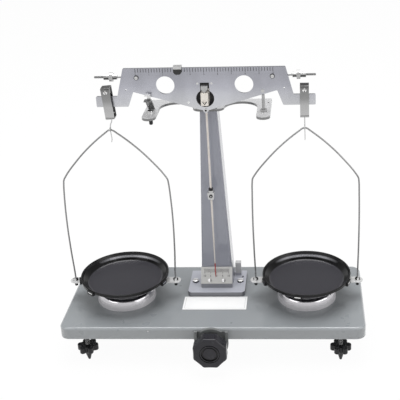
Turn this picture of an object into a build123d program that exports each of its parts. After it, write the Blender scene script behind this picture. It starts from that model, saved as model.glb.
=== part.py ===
from build123d import *
import math
import os

# Laboratory balance with two hung pans, in millimetres.
# X runs along the beam, Y away from the reader, Z up.
# Everything is modelled from the centre of the base's top face (Z = 0 there). Each piece is
# moved as it is written, so that the origin ends up on the table under the overall footprint.

# Base tray
base_width = 375.0
base_depth = 150.0
base_height = 54.5  # table to the top face
base_skirt = 15.5
base_sheet = 1.5
base_corner_radius = 12.0
base_edge_radius = 3.0
label_width = 80.5
label_depth = 29.5
label_thickness = 0.6
label_y = -19.0

# Clearances between pieces
running_clearance = 0.05  # radial, shafts and screws that turn or slide
seat_clearance = 0.1  # radial, a fixed piece in its hole
touch_gap = 0.3  # between faces that pass each other

# Levelling feet and rear foot
foot_inset_x = 30.0  # base's end to the foot's axis
front_foot_inset = 15.0
foot_stem_diameter = 5.4
foot_stem_engagement = 9.0
foot_drop = 17.0  # skirt's lower edge to the top of the foot's knob
foot_knob_diameter = 26.0
foot_knob_height = 8.0
foot_lobes = 6
foot_lobe_diameter = 7.4
foot_notch_radius = 1.2
foot_edge_radius = 1.0
foot_cone_diameter = 11.0
foot_tip_diameter = 3.0
foot_stem_in_knob = 12.0
foot_insert_diameter = 15.0
foot_insert_roof = 0.6
rear_foot_inset = 13.0
rear_foot_top_diameter = 13.0
rear_foot_bottom_diameter = 20.0
rear_foot_pad_height = 6.0

# Lifting shaft, its knob, housing and cam
shaft_drop = 19.5  # base's top face down to the shaft's axis
shaft_diameter = 8.0
housing_half_width = 20.8
housing_front = 4.0  # how far its rim stands out of the skirt
housing_rim = 3.8
housing_recess = 2.4
housing_top_drop = 3.2
housing_sleeve_diameter = 22.0
housing_sleeve_length = 30.0
housing_web_width = 18.0
bracket_width = 26.0
bracket_behind_cam = 0.5
bracket_thickness = 6.0
bracket_end_gap = 1.0  # shaft that shows behind the rear bracket
bracket_below_shaft = 11.0
knob_across_flats = 41.0
knob_sides = 8
knob_thickness = 15.0
knob_overhang = 26.0  # skirt's front to the knob's face
knob_hub_diameter = 18.0
knob_hub_gap = 1.0
knob_corner_radius = 4.5
knob_face_radius = 3.0
knob_scallop_depth = 0.4
knob_ring_diameter = 25.0
knob_ring_width = 1.2
knob_ring_depth = 0.8
knob_well_diameter = 20.6
knob_well_depth = 1.6
knob_cap_diameter = 15.8
knob_cap_rise = 0.9
knob_wall_before_shaft = 3.0
cam_low_radius = 8.0
cam_width = 8.0
cam_hub_diameter = 13.0
cam_hub_length = 6.0
cam_follower_gap = 0.25
lift_travel = 3.0
lift_turn = 90.0  # degrees of the knob for the whole travel
cam_lead = 15.0  # degrees of rising flank past each end
cam_point_step = 15

# Column and its foot
column_front_y = 20.0
column_bottom_width = 41.6
column_top_width = 20.9
column_bottom_depth = 29.0
column_top_depth = 26.0
column_wall = 3.0
column_head = 8.0  # solid metal under the top face
column_edge_radius = 2.0
flange_width = 73.0
flange_front_y = -3.0
flange_depth = 55.0
flange_thickness = 6.4
flange_chamfer = 3.5
side_post_x = 25.8
side_post_y = 44.0
side_post_width = 7.5
side_post_height = 18.0
spare_hole_x = 31.7
spare_hole_y = 35.7
spare_hole_diameter = 3.0

# Pan-head screws that hold the column
screw_diameter = 5.0
screw_head_diameter = 8.4
screw_head_height = 2.6
screw_slot_width = 1.1
screw_slot_depth = 1.0
screw_past_sheet = 3.5
flange_screw_x = 29.3
flange_screw_y = 24.5
arm_screw_x = 5.8
arm_screw_y = 41.5
arm_screw_bite = 6.5

# Scale of the pointer
scale_width = 40.3
scale_front_y = 8.3
scale_front_height = 6.0
scale_top_y = 19.0
scale_top_height = 31.2  # above the base's top face
scale_plate_thickness = 1.2
scale_screw_x = 9.0
scale_screw_up = 4.2  # along the plate from its lower edge
scale_screw_diameter = 2.6
scale_screw_head = 4.6
scale_screw_head_height = 1.5
scale_screw_length = 6.0

# Lifting rod and centre bearing
rod_y = 31.5
rod_diameter = 8.0
rod_tip_diameter = 1.2
rod_tip_length = 4.0
rod_hole_diameter = 10.0
bush_diameter = 12.0
bush_flange_diameter = 14.0
bush_flange_height = 2.0
bracket_gap_over_bush = 1.5
head_block_width = 16.0
head_block_depth = 18.0
head_block_height = 12.0
bearing_plate_width = 24.0
bearing_plate_front_y = 9.0
bearing_plate_thickness = 4.0
bearing_plate_over_knife = 4.0
bearing_arm_width = 10.0
bearing_block_width = 8.6
bearing_block_height = 15.0
bearing_block_front_y = -10.0
bearing_groove_width = 4.0
bearing_groove_depth = 1.0
bearing_groove_drop = 9.6  # knife's edge to the groove's upper ends

# Arrest arm on top of the column, and its two rests
arm_bottom = 245.5
arm_thickness = 3.0
arm_bar_front_y = 27.0
arm_scallop_y = 44.0  # deepest point of the scallops in the front edge
arm_bar_back_y = 54.0
arm_hub_width = 38.0
arm_hub_front_y = 17.0
arm_hub_radius = 9.0
tongue_x = 67.5
tongue_width = 16.5
tongue_front_y = -14.5
tongue_hole_x = 72.0
tongue_hole_y = 38.5
tongue_hole_diameter = 2.4
rest_gap = 3.2  # lowered beam to each rest: the swing of the beam fits in it
rest_post_y = 7.0
rest_post_diameter = 3.6
rest_post_collar_diameter = 7.6
rest_post_collar_height = 3.0
rest_post_cone = 3.0
rest_post_tip_diameter = 0.8
rest_post_below = 6.0
rest_nut_across = 6.4
rest_nut_height = 2.6
rest_sheet = 1.2
rest_width = 8.0
rest_foot_front_y = -1.5
rest_foot_back_y = 18.0
rest_shelf_back_y = -1.0
rest_shelf_front_y = -9.5
rest_finger_y = -5.6
rest_finger_width = 4.0
rest_finger_height = 9.0
rest_finger_flange = 6.0
rest_screw_y = 5.0
rest_screw_diameter = 4.0
rest_screw_head_diameter = 7.0
rest_screw_head_height = 2.2
rest_screw_below = 5.8

# Beam
arm_length = 116.0  # centre knife to each end knife
knife_z = 277.0  # edges of all three knives
beam_front_y = -2.0
beam_thickness = 3.0
beam_top_z = 306.0
beam_top_before_knife = 21.6  # corners, counted from the end knife
beam_shoulder_before_knife = 12.6
beam_ear_top_z = 272.2
beam_ear_bottom_z = 259.4
beam_end_past_knife = 13.0
beam_inner_bottom_before_knife = 24.8
beam_inner_top_before_knife = 31.6
beam_inner_top_z = 277.6
beam_apex_z = 252.9
beam_corner_radius = 1.2
apex_screw_z = 253.9
apex_tab_radius = 3.2
window_x = 46.0
window_z = 285.2
window_diameter = 21.8
centre_hole_z = 268.5
centre_hole_diameter = 21.2
notch_width = 10.6
notch_top_z = 287.8
plumb_hole_x = -19.7
plumb_hole_z = 263.7
plumb_hole_diameter = 2.4
end_hole_before_knife = 23.3
end_hole_z = 280.0
end_hole_diameter = 2.2
centre_knife_width = 7.7
centre_knife_height = 8.4
centre_knife_front_y = -8.0
centre_knife_back_y = 7.0
centre_knife_flank = 4.4  # height of the V
holder_width = 22.0
holder_thickness = 2.5
holder_bottom_over_knife = 3.2
holder_top_z = 293.5
holder_screw_x = 8.2
end_knife_width = 5.0
end_knife_root = 4.0
end_knife_length = 9.0
end_knife_flank = 3.6
stud_z = 276.9
stud_diameter = 3.0
stud_back_y = 10.0
stud_head_diameter = 4.2
stud_head_height = 0.6

# Screws on the beam
beam_screw_diameter = 2.6
beam_screw_head_diameter = 5.6
beam_screw_head_height = 1.4
apex_screw_head_diameter = 4.2
beam_screw_slot_width = 0.7
beam_screw_slot_depth = 0.6
rod_screw_before_knife = 36.8
rod_screw_z = 294.8

# Balance rods and nuts
balance_rod_diameter = 2.6
balance_rod_past_knife = 13.5
balance_rod_eye_width = 6.8
balance_rod_eye_thickness = 3.2
nut_hub_diameter = 6.6
nut_hub_before_knife = 13.5
nut_hub_length = 15.5
nut_disc_diameter = 10.4
nut_disc_before_knife = 6.7
nut_disc_thickness = 4.4
nut_disc_ribs = 24
nut_disc_rib_depth = 0.35

# Pointer and its weight
pointer_diameter = 2.4
pointer_eye_diameter = 7.0
pointer_eye_thickness = 2.8
pointer_taper_top_z = 118.0
pointer_taper_bottom_z = 46.0
pointer_end_diameter = 1.2
pointer_tip_z = 25.4
pointer_tip_diameter = 1.5
pointer_tip_point = 5.0
weight_bottom_z = 137.0
weight_height = 9.2
weight_top_width = 9.0
weight_bottom_width = 6.6
weight_depth = 7.0
weight_neck_diameter = 6.0
weight_neck_height = 2.2
weight_corner_radius = 1.2
weight_screw_diameter = 2.2
weight_screw_head_diameter = 4.4
weight_screw_head_height = 1.2

# Rider on the beam's top edge
rider_x = -30.4
rider_width = 9.7
rider_wall = 2.0
rider_over_beam = 2.0
rider_below_top = 7.4
rider_bottom_radius = 3.6

# Stirrups and hooks
stirrup_gap = 11.2  # inside, across the beam
stirrup_sheet = 1.2
stirrup_width = 10.4
stirrup_top_over_knife = 7.0
stirrup_height = 39.0
stirrup_corner_radius = 1.6
stirrup_window_width = 4.6
stirrup_window_over_knife = 3.6
stirrup_bearing_width = 8.0
stirrup_groove_depth = 1.2
left_stirrup_lean = 4.6  # degrees, top away from the column
hook_diameter = 1.4
hook_head_diameter = 4.4
hook_head_height = 2.4
hook_hole_clearance = 0.3
hook_front_rise = 3.2
hook_tail_diameter = 1.2
hook_tail_z = 213.7

# Hangers, carriers and pans
bow_apex_z = 230.0
bow_wire_diameter = 2.0
bow_half_width = 64.6
bow_shoulder_angle = 56.0  # slope of the arm where it leaves the shoulder
bow_apex_angle = 36.0  # slope of the arm at the apex
bow_shoulder_radius = 10.0
bow_apex_radius = 5.0
carrier_top_z = 23.7
carrier_sheet = 1.2
carrier_width = 13.6
carrier_disc_diameter = 52.0
lug_nut_across = 5.5
lug_nut_height = 2.4
lug_cap_diameter = 4.0
lug_cap_height = 6.6
lug_cap_roof = 1.2
pan_rim_diameter = 111.6
pan_depth = 9.2
pan_sheet = 1.5
pan_floor_diameter = 94.0
pan_corner_radius = 6.0
pan_lip_height = 3.2
pan_lip_radius = 0.6
pan_seat_gap = 0.1
pan_tab_width = 11.0
pan_tab_depth = 1.8  # past the lip
pan_tab_height = 5.0
pan_tab_inset = 0.8
pan_tab_inset_width = 8.0
pan_tab_inset_height = 1.6
left_pan_tab_angles = (196.0, 232.0, 340.0)
right_pan_tab_angles = (200.0, 259.0, 338.0)
pan_rest_diameter = 74.6
pan_rest_shoulder_diameter = 69.6
pan_rest_shoulder_height = 10.2
pan_rest_crown_diameter = 58.0
pan_rest_height = 13.4
pan_rest_spigot_diameter = 6.0
pan_rest_spigot_length = 4.5

# Derived places
table_z = -base_height
shaft_z = -shaft_drop
skirt_front_y = -base_depth / 2
knob_face_y = skirt_front_y - knob_overhang
origin_shift_y = knob_overhang / 2
beam_back_y = beam_front_y + beam_thickness
beam_mid_y = beam_front_y + beam_thickness / 2
arm_top = arm_bottom + arm_thickness
foot_x = base_width / 2 - foot_inset_x
front_foot_y = -base_depth / 2 + front_foot_inset
rear_foot_y = base_depth / 2 - rear_foot_inset
bracket_front_y = rod_y + cam_width / 2 + bracket_behind_cam
shaft_rear_y = bracket_front_y + bracket_thickness + bracket_end_gap
rod_screw_x = arm_length - rod_screw_before_knife
nut_hub_inner_x = arm_length - nut_hub_before_knife
pan_floor_z = carrier_top_z + pan_seat_gap + pan_sheet
pan_rim_z = pan_floor_z + pan_depth
lift_per_degree = lift_travel / lift_turn
SIDES = {"left": -1, "right": 1}


def box_between(x, y, z):
    spans = (x, y, z)
    size = [high - low for low, high in spans]
    centre = [(high + low) / 2 for low, high in spans]
    return Pos(*centre) * Box(*size)


def bar_x(y, z, start, end, diameter):
    return Pos((start + end) / 2, y, z) * Rot(0, 90, 0) * Cylinder(diameter / 2, end - start)


def bar_y(x, z, start, end, diameter):
    return Pos(x, (start + end) / 2, z) * Rot(90, 0, 0) * Cylinder(diameter / 2, end - start)


def bar_z(x, y, start, end, diameter):
    return Pos(x, y, (start + end) / 2) * Cylinder(diameter / 2, end - start)


def cone_z(x, y, start, end, start_diameter, end_diameter):
    cone = Cone(start_diameter / 2, end_diameter / 2, end - start)
    return Pos(x, y, (start + end) / 2) * cone


def prism_xz(points, y, radius=0.0):
    # A polygon seen from the front, from y[0] back to y[1]
    face = make_face(Polyline(*points, close=True))
    if radius:
        face = fillet(face.vertices(), radius)
    return extrude(Plane((0, y[1], 0), x_dir=(1, 0, 0), z_dir=(0, -1, 0)) * face, y[1] - y[0])


def prism_yz(points, x):
    # A polygon seen from the side, from x[0] to x[1]
    face = make_face(Polyline(*points, close=True))
    return extrude(Plane((x[0], 0, 0), x_dir=(0, 1, 0), z_dir=(1, 0, 0)) * face, x[1] - x[0])


def hexagon_z(x, y, start, end, across, bore):
    sketch = RegularPolygon(across / 2, 6, major_radius=False) - Circle(bore / 2)
    return extrude(Pos(x, y, start) * sketch, end - start)


def slotted_screw(head_diameter, head_height, diameter, length, slot_width, slot_depth):
    # Head up along +Z, its underside at Z = 0
    head = Pos(0, 0, head_height / 2) * Cylinder(head_diameter / 2, head_height)
    head = fillet(head.edges().group_by(Axis.Z)[-1], head_height * 0.45)
    slot = Pos(0, 0, head_height - slot_depth / 2) * Box(head_diameter, slot_width, slot_depth)
    return head - slot + bar_z(0, 0, -length, 0, diameter)


# Base


def rounded_slab(inset, bottom, top, edge_radius):
    sketch = RectangleRounded(base_width - 2 * inset, base_depth - 2 * inset, base_corner_radius - inset)
    slab = extrude(Pos(0, 0, bottom) * sketch, top - bottom)
    return fillet(slab.edges().group_by(Axis.Z)[-1], edge_radius)


def base_plate():
    tray = rounded_slab(0, -base_skirt, 0, base_edge_radius)
    tray -= rounded_slab(base_sheet, -base_skirt, -base_sheet, base_edge_radius - base_sheet)
    tray -= bar_z(0, rod_y, -base_sheet, 0, rod_hole_diameter)
    for side in SIDES.values():
        tray -= bar_z(side * flange_screw_x, flange_screw_y, -base_sheet, 0, screw_diameter)
        spigot_hole = pan_rest_spigot_diameter + 2 * seat_clearance
        tray -= bar_z(side * arm_length, beam_mid_y, -base_sheet, 0, spigot_hole)
    notch = housing_sleeve_diameter + 2 * seat_clearance
    tray -= bar_y(0, shaft_z, skirt_front_y, skirt_front_y + 2 * base_sheet, notch)
    return tray


def label_plate():
    sketch = RectangleRounded(label_width, label_depth, label_thickness)
    return extrude(Pos(0, label_y, 0) * sketch, label_thickness)


def pan_rests():
    # A chromed drum on the base under each pan, with a spigot through the sheet. Its side
    # starts upright and leans in more and more up to a rounded shoulder.
    foot = (pan_rest_diameter / 2, 0)
    shoulder = (pan_rest_shoulder_diameter / 2, pan_rest_shoulder_height)
    crown = (pan_rest_crown_diameter / 2, pan_rest_height)
    wall = TangentArc(foot, shoulder, tangent=(0, 1))
    outline = [
        Line((0, 0), foot),
        wall,
        TangentArc(shoulder, crown, tangent=wall % 1),
        Line(crown, (0, pan_rest_height)),
        Line((0, pan_rest_height), (0, 0)),
    ]
    drum = revolve(Plane.XZ * make_face(outline), Axis.Z)
    drum += bar_z(0, 0, -pan_rest_spigot_length, 0, pan_rest_spigot_diameter)
    return [Pos(side * arm_length, beam_mid_y, 0) * drum for side in SIDES.values()]


# Feet


def foot_inserts():
    inserts = []
    for side in SIDES.values():
        insert = bar_z(side * foot_x, front_foot_y, -base_skirt, -base_sheet, foot_insert_diameter)
        bore = foot_stem_diameter + 2 * running_clearance
        roof = -base_sheet - foot_insert_roof
        inserts.append(insert - bar_z(side * foot_x, front_foot_y, -base_skirt, roof, bore))
    return inserts


def foot_knob_top():
    return -base_skirt - foot_drop


def foot_stem(side):
    top = -base_skirt + foot_stem_engagement
    bottom = foot_knob_top() - foot_stem_in_knob
    stem = bar_z(side * foot_x, front_foot_y, bottom, top, foot_stem_diameter)
    return chamfer(stem.edges().group_by(Axis.Z)[-1], foot_stem_diameter / 8)


def foot_knob(side):
    top = foot_knob_top()
    bottom = top - foot_knob_height
    lobe_ring = (foot_knob_diameter - foot_lobe_diameter) / 2
    outline = Circle(lobe_ring)
    for lobe in range(foot_lobes):
        outline += Rot(0, 0, lobe * 360 / foot_lobes) * Pos(lobe_ring, 0) * Circle(foot_lobe_diameter / 2)
    outline = fillet(outline.vertices(), foot_notch_radius)
    knob = extrude(Pos(0, 0, bottom) * outline, foot_knob_height)
    knob = fillet(knob.edges().group_by(Axis.Z)[-1], foot_edge_radius)
    knob = fillet(knob.edges().group_by(Axis.Z)[0], foot_edge_radius)
    knob += cone_z(0, 0, table_z, bottom, foot_tip_diameter, foot_cone_diameter)
    bore = foot_stem_diameter + 2 * running_clearance
    knob -= bar_z(0, 0, top - foot_stem_in_knob - touch_gap, top, bore)
    return Pos(side * foot_x, front_foot_y, 0) * knob


def rear_foot():
    pad_top = table_z + rear_foot_pad_height
    foot = bar_z(0, rear_foot_y, table_z, pad_top, rear_foot_bottom_diameter)
    foot = fillet(foot.edges().group_by(Axis.Z)[0], rear_foot_pad_height / 4)
    return foot + cone_z(
        0, rear_foot_y, pad_top, -base_sheet, rear_foot_bottom_diameter, rear_foot_top_diameter
    )


# Lifting knob, shaft and cam


def shaft_bore():
    return shaft_diameter + 2 * running_clearance


def shaft_housing():
    # A rounded tongue on the front of the skirt, with a sleeve behind it for the shaft
    front = skirt_front_y - housing_front
    rim = box_between(
        (-housing_half_width, housing_half_width), (front, skirt_front_y), (shaft_z, -housing_top_drop)
    )
    rim += bar_y(0, shaft_z, front, skirt_front_y, 2 * housing_half_width)
    inner = housing_half_width - housing_rim
    floor = front + housing_recess
    rim -= box_between((-inner, inner), (front, floor), (shaft_z, -housing_top_drop))
    rim -= bar_y(0, shaft_z, front, floor, 2 * inner)
    back = skirt_front_y + housing_sleeve_length
    sleeve = bar_y(0, shaft_z, skirt_front_y, back, housing_sleeve_diameter)
    web_front = skirt_front_y + base_sheet + base_edge_radius
    sleeve += box_between(
        (-housing_web_width / 2, housing_web_width / 2), (web_front, back), (shaft_z, -base_sheet)
    )
    return rim + sleeve - bar_y(0, shaft_z, front, back, shaft_bore())


def rear_shaft_bracket():
    # Close behind the cam
    back = bracket_front_y + bracket_thickness
    bracket = box_between(
        (-bracket_width / 2, bracket_width / 2),
        (bracket_front_y, back),
        (shaft_z - bracket_below_shaft, -base_sheet),
    )
    return bracket - bar_y(0, shaft_z, bracket_front_y, back, shaft_bore())


def cam_shaft():
    front = knob_face_y + knob_well_depth + knob_wall_before_shaft
    shaft = bar_y(0, shaft_z, front, shaft_rear_y, shaft_diameter)
    return chamfer(shaft.edges().group_by(Axis.Y)[-1], shaft_diameter / 10)


def brake_knob():
    # Each side of the outline is a shallow hollow between two rounded corners
    corner = knob_across_flats / 2 / math.cos(math.pi / knob_sides)
    hollow = knob_across_flats / 2 - knob_scallop_depth
    outline = []
    for side in range(knob_sides):
        turn = Rot(0, 0, side * 360 / knob_sides)
        ends = [(turn * Rot(0, 0, half * 180 / knob_sides) * Pos(corner)).position for half in (-1, 1)]
        outline.append(ThreePointArc(ends[0], (turn * Pos(hollow)).position, ends[1]))
    sketch = make_face(outline)
    sketch = fillet(sketch.vertices(), knob_corner_radius)
    head = extrude(sketch, knob_thickness)
    head = fillet(head.edges().group_by(Axis.Z)[-1], knob_face_radius)
    head = fillet(head.edges().group_by(Axis.Z)[0], knob_face_radius / 2)
    ring = Circle(knob_ring_diameter / 2) - Circle(knob_ring_diameter / 2 - knob_ring_width)
    head -= extrude(Pos(0, 0, knob_thickness - knob_ring_depth) * ring, knob_ring_depth)
    well_floor = knob_thickness - knob_well_depth
    head -= bar_z(0, 0, well_floor, knob_thickness, knob_well_diameter)
    hub_length = knob_overhang - knob_thickness - housing_front - knob_hub_gap
    head += bar_z(0, 0, -hub_length, 0, knob_hub_diameter)
    head -= bar_z(0, 0, -hub_length, well_floor - knob_wall_before_shaft, shaft_diameter)
    return Pos(0, knob_face_y + knob_thickness, shaft_z) * Rot(90, 0, 0) * head


def knob_cap():
    floor = knob_face_y + knob_well_depth
    cap = bar_y(0, shaft_z, floor - knob_cap_rise, floor, knob_cap_diameter)
    return fillet(cap.edges().group_by(Axis.Y)[0], knob_cap_rise / 2)


def cam_radius(angle):
    # Distance to the flank, at an angle in degrees counterclockwise from the top seen from the knob
    turned = min(max(angle, -cam_lead), lift_turn + cam_lead)
    rise = cam_low_radius + turned * lift_per_degree
    if angle <= lift_turn + cam_lead:
        return rise
    back = (angle - lift_turn - cam_lead) / (360 - lift_turn - 2 * cam_lead)
    drop = (lift_turn + 2 * cam_lead) * lift_per_degree
    return rise - drop * (1 - math.cos(math.pi * back)) / 2


def lift_cam():
    angles = range(-int(cam_lead), 360 - int(cam_lead), cam_point_step)
    points = [
        (-cam_radius(a) * math.sin(math.radians(a)), cam_radius(a) * math.cos(math.radians(a)))
        for a in angles
    ]
    cam = extrude(make_face(Spline(*points, periodic=True)), cam_width)
    cam += bar_z(0, 0, cam_width, cam_width + cam_hub_length, cam_hub_diameter)
    cam -= bar_z(0, 0, 0, cam_width + cam_hub_length, shaft_diameter)
    return Pos(0, rod_y + cam_width / 2, shaft_z) * Rot(90, 0, 0) * cam


# Column


def column_flange():
    centre_y = flange_front_y + flange_depth / 2
    plate = extrude(Pos(0, centre_y, 0) * Rectangle(flange_width, flange_depth), flange_thickness)
    plate = chamfer(plate.edges().filter_by(Axis.Z).group_by(Axis.Y)[0], flange_chamfer)
    half = side_post_width / 2
    plate += box_between(
        (side_post_x - half, side_post_x + half),
        (side_post_y - half, side_post_y + half),
        (flange_thickness, flange_thickness + side_post_height),
    )
    plate -= bar_z(0, rod_y, 0, flange_thickness, rod_hole_diameter)
    plate -= bar_z(spare_hole_x, spare_hole_y, 0, flange_thickness, spare_hole_diameter)
    for side in SIDES.values():
        hole = screw_diameter + 2 * seat_clearance
        plate -= bar_z(side * flange_screw_x, flange_screw_y, 0, flange_thickness, hole)
    return plate


def column_section(inset, z):
    # The column narrows in step from the flange to its top face
    share = (z - flange_thickness) / (arm_bottom - flange_thickness)
    half = (column_bottom_width + (column_top_width - column_bottom_width) * share) / 2 - inset
    depth = column_bottom_depth + (column_top_depth - column_bottom_depth) * share
    front = column_front_y + inset
    back = column_front_y + depth - inset
    points = [(-half, front), (half, front), (half, back), (-half, back)]
    return Pos(0, 0, z) * make_face(Polyline(*points, close=True))


def column():
    head_bottom = arm_bottom - column_head
    body = loft([column_section(0, flange_thickness), column_section(0, arm_bottom)])
    upright = [edge for edge in body.edges() if abs(edge.tangent_at(0).Z) > 0.9]
    body = fillet(upright, column_edge_radius)
    body -= loft([column_section(column_wall, flange_thickness), column_section(column_wall, head_bottom)])
    body -= bar_z(0, rod_y, head_bottom, arm_bottom, bush_diameter + 2 * seat_clearance)
    for side in SIDES.values():
        bottom = arm_bottom - arm_screw_bite
        body -= bar_z(side * arm_screw_x, arm_screw_y, bottom, arm_bottom, screw_diameter)
    return body


def column_screws():
    def screw(length):
        return slotted_screw(
            screw_head_diameter, screw_head_height, screw_diameter, length,
            screw_slot_width, screw_slot_depth,
        )

    long = screw(flange_thickness + base_sheet + screw_past_sheet)
    short = screw(arm_thickness + arm_screw_bite)
    screws = []
    for side in SIDES.values():
        screws.append(Pos(side * flange_screw_x, flange_screw_y, flange_thickness) * long)
        screws.append(Pos(side * arm_screw_x, arm_screw_y, arm_top) * short)
    return screws


# Pointer's scale


def scale_tilt():
    rise = scale_top_height - flange_thickness - scale_front_height
    return math.degrees(math.atan2(scale_top_y - scale_front_y, rise))


def scale_length():
    rise = scale_top_height - flange_thickness - scale_front_height
    return math.hypot(scale_top_y - scale_front_y, rise)


def scale_face():
    # Frame on the block's sloping face: X across, Y up the slope, Z out of it
    tilt = math.radians(scale_tilt())
    return Plane(
        (0, scale_front_y, flange_thickness + scale_front_height),
        x_dir=(1, 0, 0),
        z_dir=(0, -math.cos(tilt), math.sin(tilt)),
    )


def scale_block():
    low = flange_thickness
    points = [
        (scale_front_y, low),
        (column_front_y, low),
        (column_front_y, scale_top_height),
        (scale_top_y, scale_top_height),
        (scale_front_y, low + scale_front_height),
    ]
    block = prism_yz(points, (-scale_width / 2, scale_width / 2))
    for side in SIDES.values():
        depth = scale_screw_length - scale_plate_thickness
        hole = Pos(side * scale_screw_x, scale_screw_up, -depth / 2)
        block -= scale_face() * hole * Cylinder(scale_screw_diameter / 2, depth)
    return block


def pointer_scale():
    plate = Pos(0, scale_length() / 2, scale_plate_thickness / 2) * Box(
        scale_width, scale_length(), scale_plate_thickness
    )
    for side in SIDES.values():
        hole = Cylinder(scale_screw_diameter / 2 + seat_clearance, 2 * scale_plate_thickness)
        plate -= Pos(side * scale_screw_x, scale_screw_up, scale_plate_thickness / 2) * hole
    return scale_face() * plate


def scale_screws():
    screw = slotted_screw(
        scale_screw_head, scale_screw_head_height, scale_screw_diameter, scale_screw_length,
        beam_screw_slot_width, beam_screw_slot_depth,
    )
    place = Pos(0, scale_screw_up, scale_plate_thickness)
    return [scale_face() * Pos(side * scale_screw_x) * place * screw for side in SIDES.values()]


# Arrest arm and rests


def arrest_arm():
    # Bar with a hub over the column, two tongues forward and a scallop between hub and tongue
    half = tongue_x + tongue_width / 2
    inner = tongue_x - tongue_width / 2
    hub_half = arm_hub_width / 2
    bar_y = (arm_bar_front_y + arm_bar_back_y) / 2
    outline = Pos(0, bar_y) * Rectangle(2 * half, arm_bar_back_y - arm_bar_front_y)
    hub_y = (arm_hub_front_y + arm_bar_back_y) / 2
    hub = Pos(0, hub_y) * Rectangle(arm_hub_width, arm_bar_back_y - arm_hub_front_y)
    outline += fillet(hub.vertices().group_by(Axis.Y)[0], arm_hub_radius)
    tip_y = tongue_front_y + tongue_width / 2
    for side in SIDES.values():
        tongue_y = (tip_y + arm_bar_back_y) / 2
        outline += Pos(side * tongue_x, tongue_y) * Rectangle(tongue_width, arm_bar_back_y - tip_y)
        outline += Pos(side * tongue_x, tip_y) * Circle(tongue_width / 2)
        ends = [(side * hub_half, arm_bar_front_y), (side * inner, arm_bar_front_y)]
        deepest = (side * (hub_half + inner) / 2, arm_scallop_y)
        outline -= make_face([Line(ends[1], ends[0]), ThreePointArc(ends[0], deepest, ends[1])])
    plate = extrude(Pos(0, 0, arm_bottom) * outline, arm_thickness)
    plate -= bar_z(0, rod_y, arm_bottom, arm_top, bush_diameter + 2 * seat_clearance)
    for side in SIDES.values():
        hole = screw_diameter + 2 * seat_clearance
        plate -= bar_z(side * arm_screw_x, arm_screw_y, arm_bottom, arm_top, hole)
        plate -= bar_z(side * tongue_hole_x, tongue_hole_y, arm_bottom, arm_top, tongue_hole_diameter)
    post_hole = rest_post_diameter + 2 * seat_clearance
    plate -= bar_z(tongue_x, rest_post_y, arm_bottom, arm_top, post_hole)
    plate -= bar_z(-tongue_x, rest_screw_y, arm_bottom, arm_top, rest_screw_diameter)
    return plate


def rod_bush():
    bush = bar_z(0, rod_y, arm_bottom - column_head, arm_top, bush_diameter)
    bush += bar_z(0, rod_y, arm_top, arm_top + bush_flange_height, bush_flange_diameter)
    bore = rod_diameter + 2 * running_clearance
    return bush - bar_z(0, rod_y, arm_bottom - column_head, arm_top + bush_flange_height, bore)


def rest_post():
    # Pointed post that stands under the stud of the beam
    top = stud_z - stud_diameter / 2 - rest_gap
    shoulder = top - rest_post_cone
    post = bar_z(tongue_x, rest_post_y, arm_bottom - rest_post_below, shoulder, rest_post_diameter)
    post += cone_z(tongue_x, rest_post_y, shoulder, top, rest_post_diameter, rest_post_tip_diameter)
    collar_top = arm_top + rest_post_collar_height
    return post + bar_z(tongue_x, rest_post_y, arm_top, collar_top, rest_post_collar_diameter)


def rest_post_nut():
    bore = rest_post_diameter + 2 * seat_clearance
    bottom = arm_bottom - rest_nut_height
    return hexagon_z(tongue_x, rest_post_y, bottom, arm_bottom, rest_nut_across, bore)


def beam_lower_edge(x):
    # Height of the beam's sloping lower edge at a distance from the centre
    slope = (beam_inner_top_z - beam_apex_z) / (arm_length - beam_inner_top_before_knife)
    return beam_apex_z + slope * abs(x)


def rest_fork():
    # Bent strip: a foot on the tongue, a leg that leans forward under the beam to a shelf,
    # and a finger that stands in front of the beam
    low = arm_top
    shelf = beam_lower_edge(tongue_x - rest_width / 2) - rest_gap - rest_sheet
    strip = [
        (rest_foot_front_y, low),
        (rest_foot_back_y, low),
        (rest_foot_back_y, low + rest_sheet),
        (rest_shelf_back_y, shelf + rest_sheet),
        (rest_shelf_front_y, shelf + rest_sheet),
        (rest_shelf_front_y, shelf),
        (rest_shelf_back_y - rest_sheet, shelf),
        (rest_foot_back_y - 2 * rest_sheet, low + rest_sheet),
        (rest_foot_front_y, low + rest_sheet),
    ]
    left = -tongue_x - rest_width / 2
    right = left + rest_width
    fork = prism_yz(strip, (left, right))
    finger_x = (right - rest_finger_width, right)
    top = shelf + rest_finger_height
    fork += box_between(finger_x, (rest_finger_y - rest_sheet, rest_finger_y), (shelf, top))
    flange_y = (rest_finger_y - rest_finger_flange, rest_finger_y)
    fork += box_between((right - rest_width * 0.8, right), flange_y, (top - rest_sheet, top))
    hole = rest_screw_diameter + 2 * seat_clearance
    return fork - bar_z(-tongue_x, rest_screw_y, low, low + rest_sheet, hole)


def rest_screw():
    length = rest_sheet + arm_thickness + rest_screw_below
    screw = slotted_screw(
        rest_screw_head_diameter, rest_screw_head_height, rest_screw_diameter, length,
        screw_slot_width, screw_slot_depth,
    )
    return Pos(-tongue_x, rest_screw_y, arm_top + rest_sheet) * screw


# Lifting rod and bearing


def lift_rod():
    low = shaft_z + cam_low_radius + cam_follower_gap
    top = head_block_bottom() + head_block_height
    rod = bar_z(0, rod_y, low + rod_tip_length, top, rod_diameter)
    return rod + cone_z(0, rod_y, low, low + rod_tip_length, rod_tip_diameter, rod_diameter)


def head_block_bottom():
    return arm_top + bush_flange_height + bracket_gap_over_bush


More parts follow.
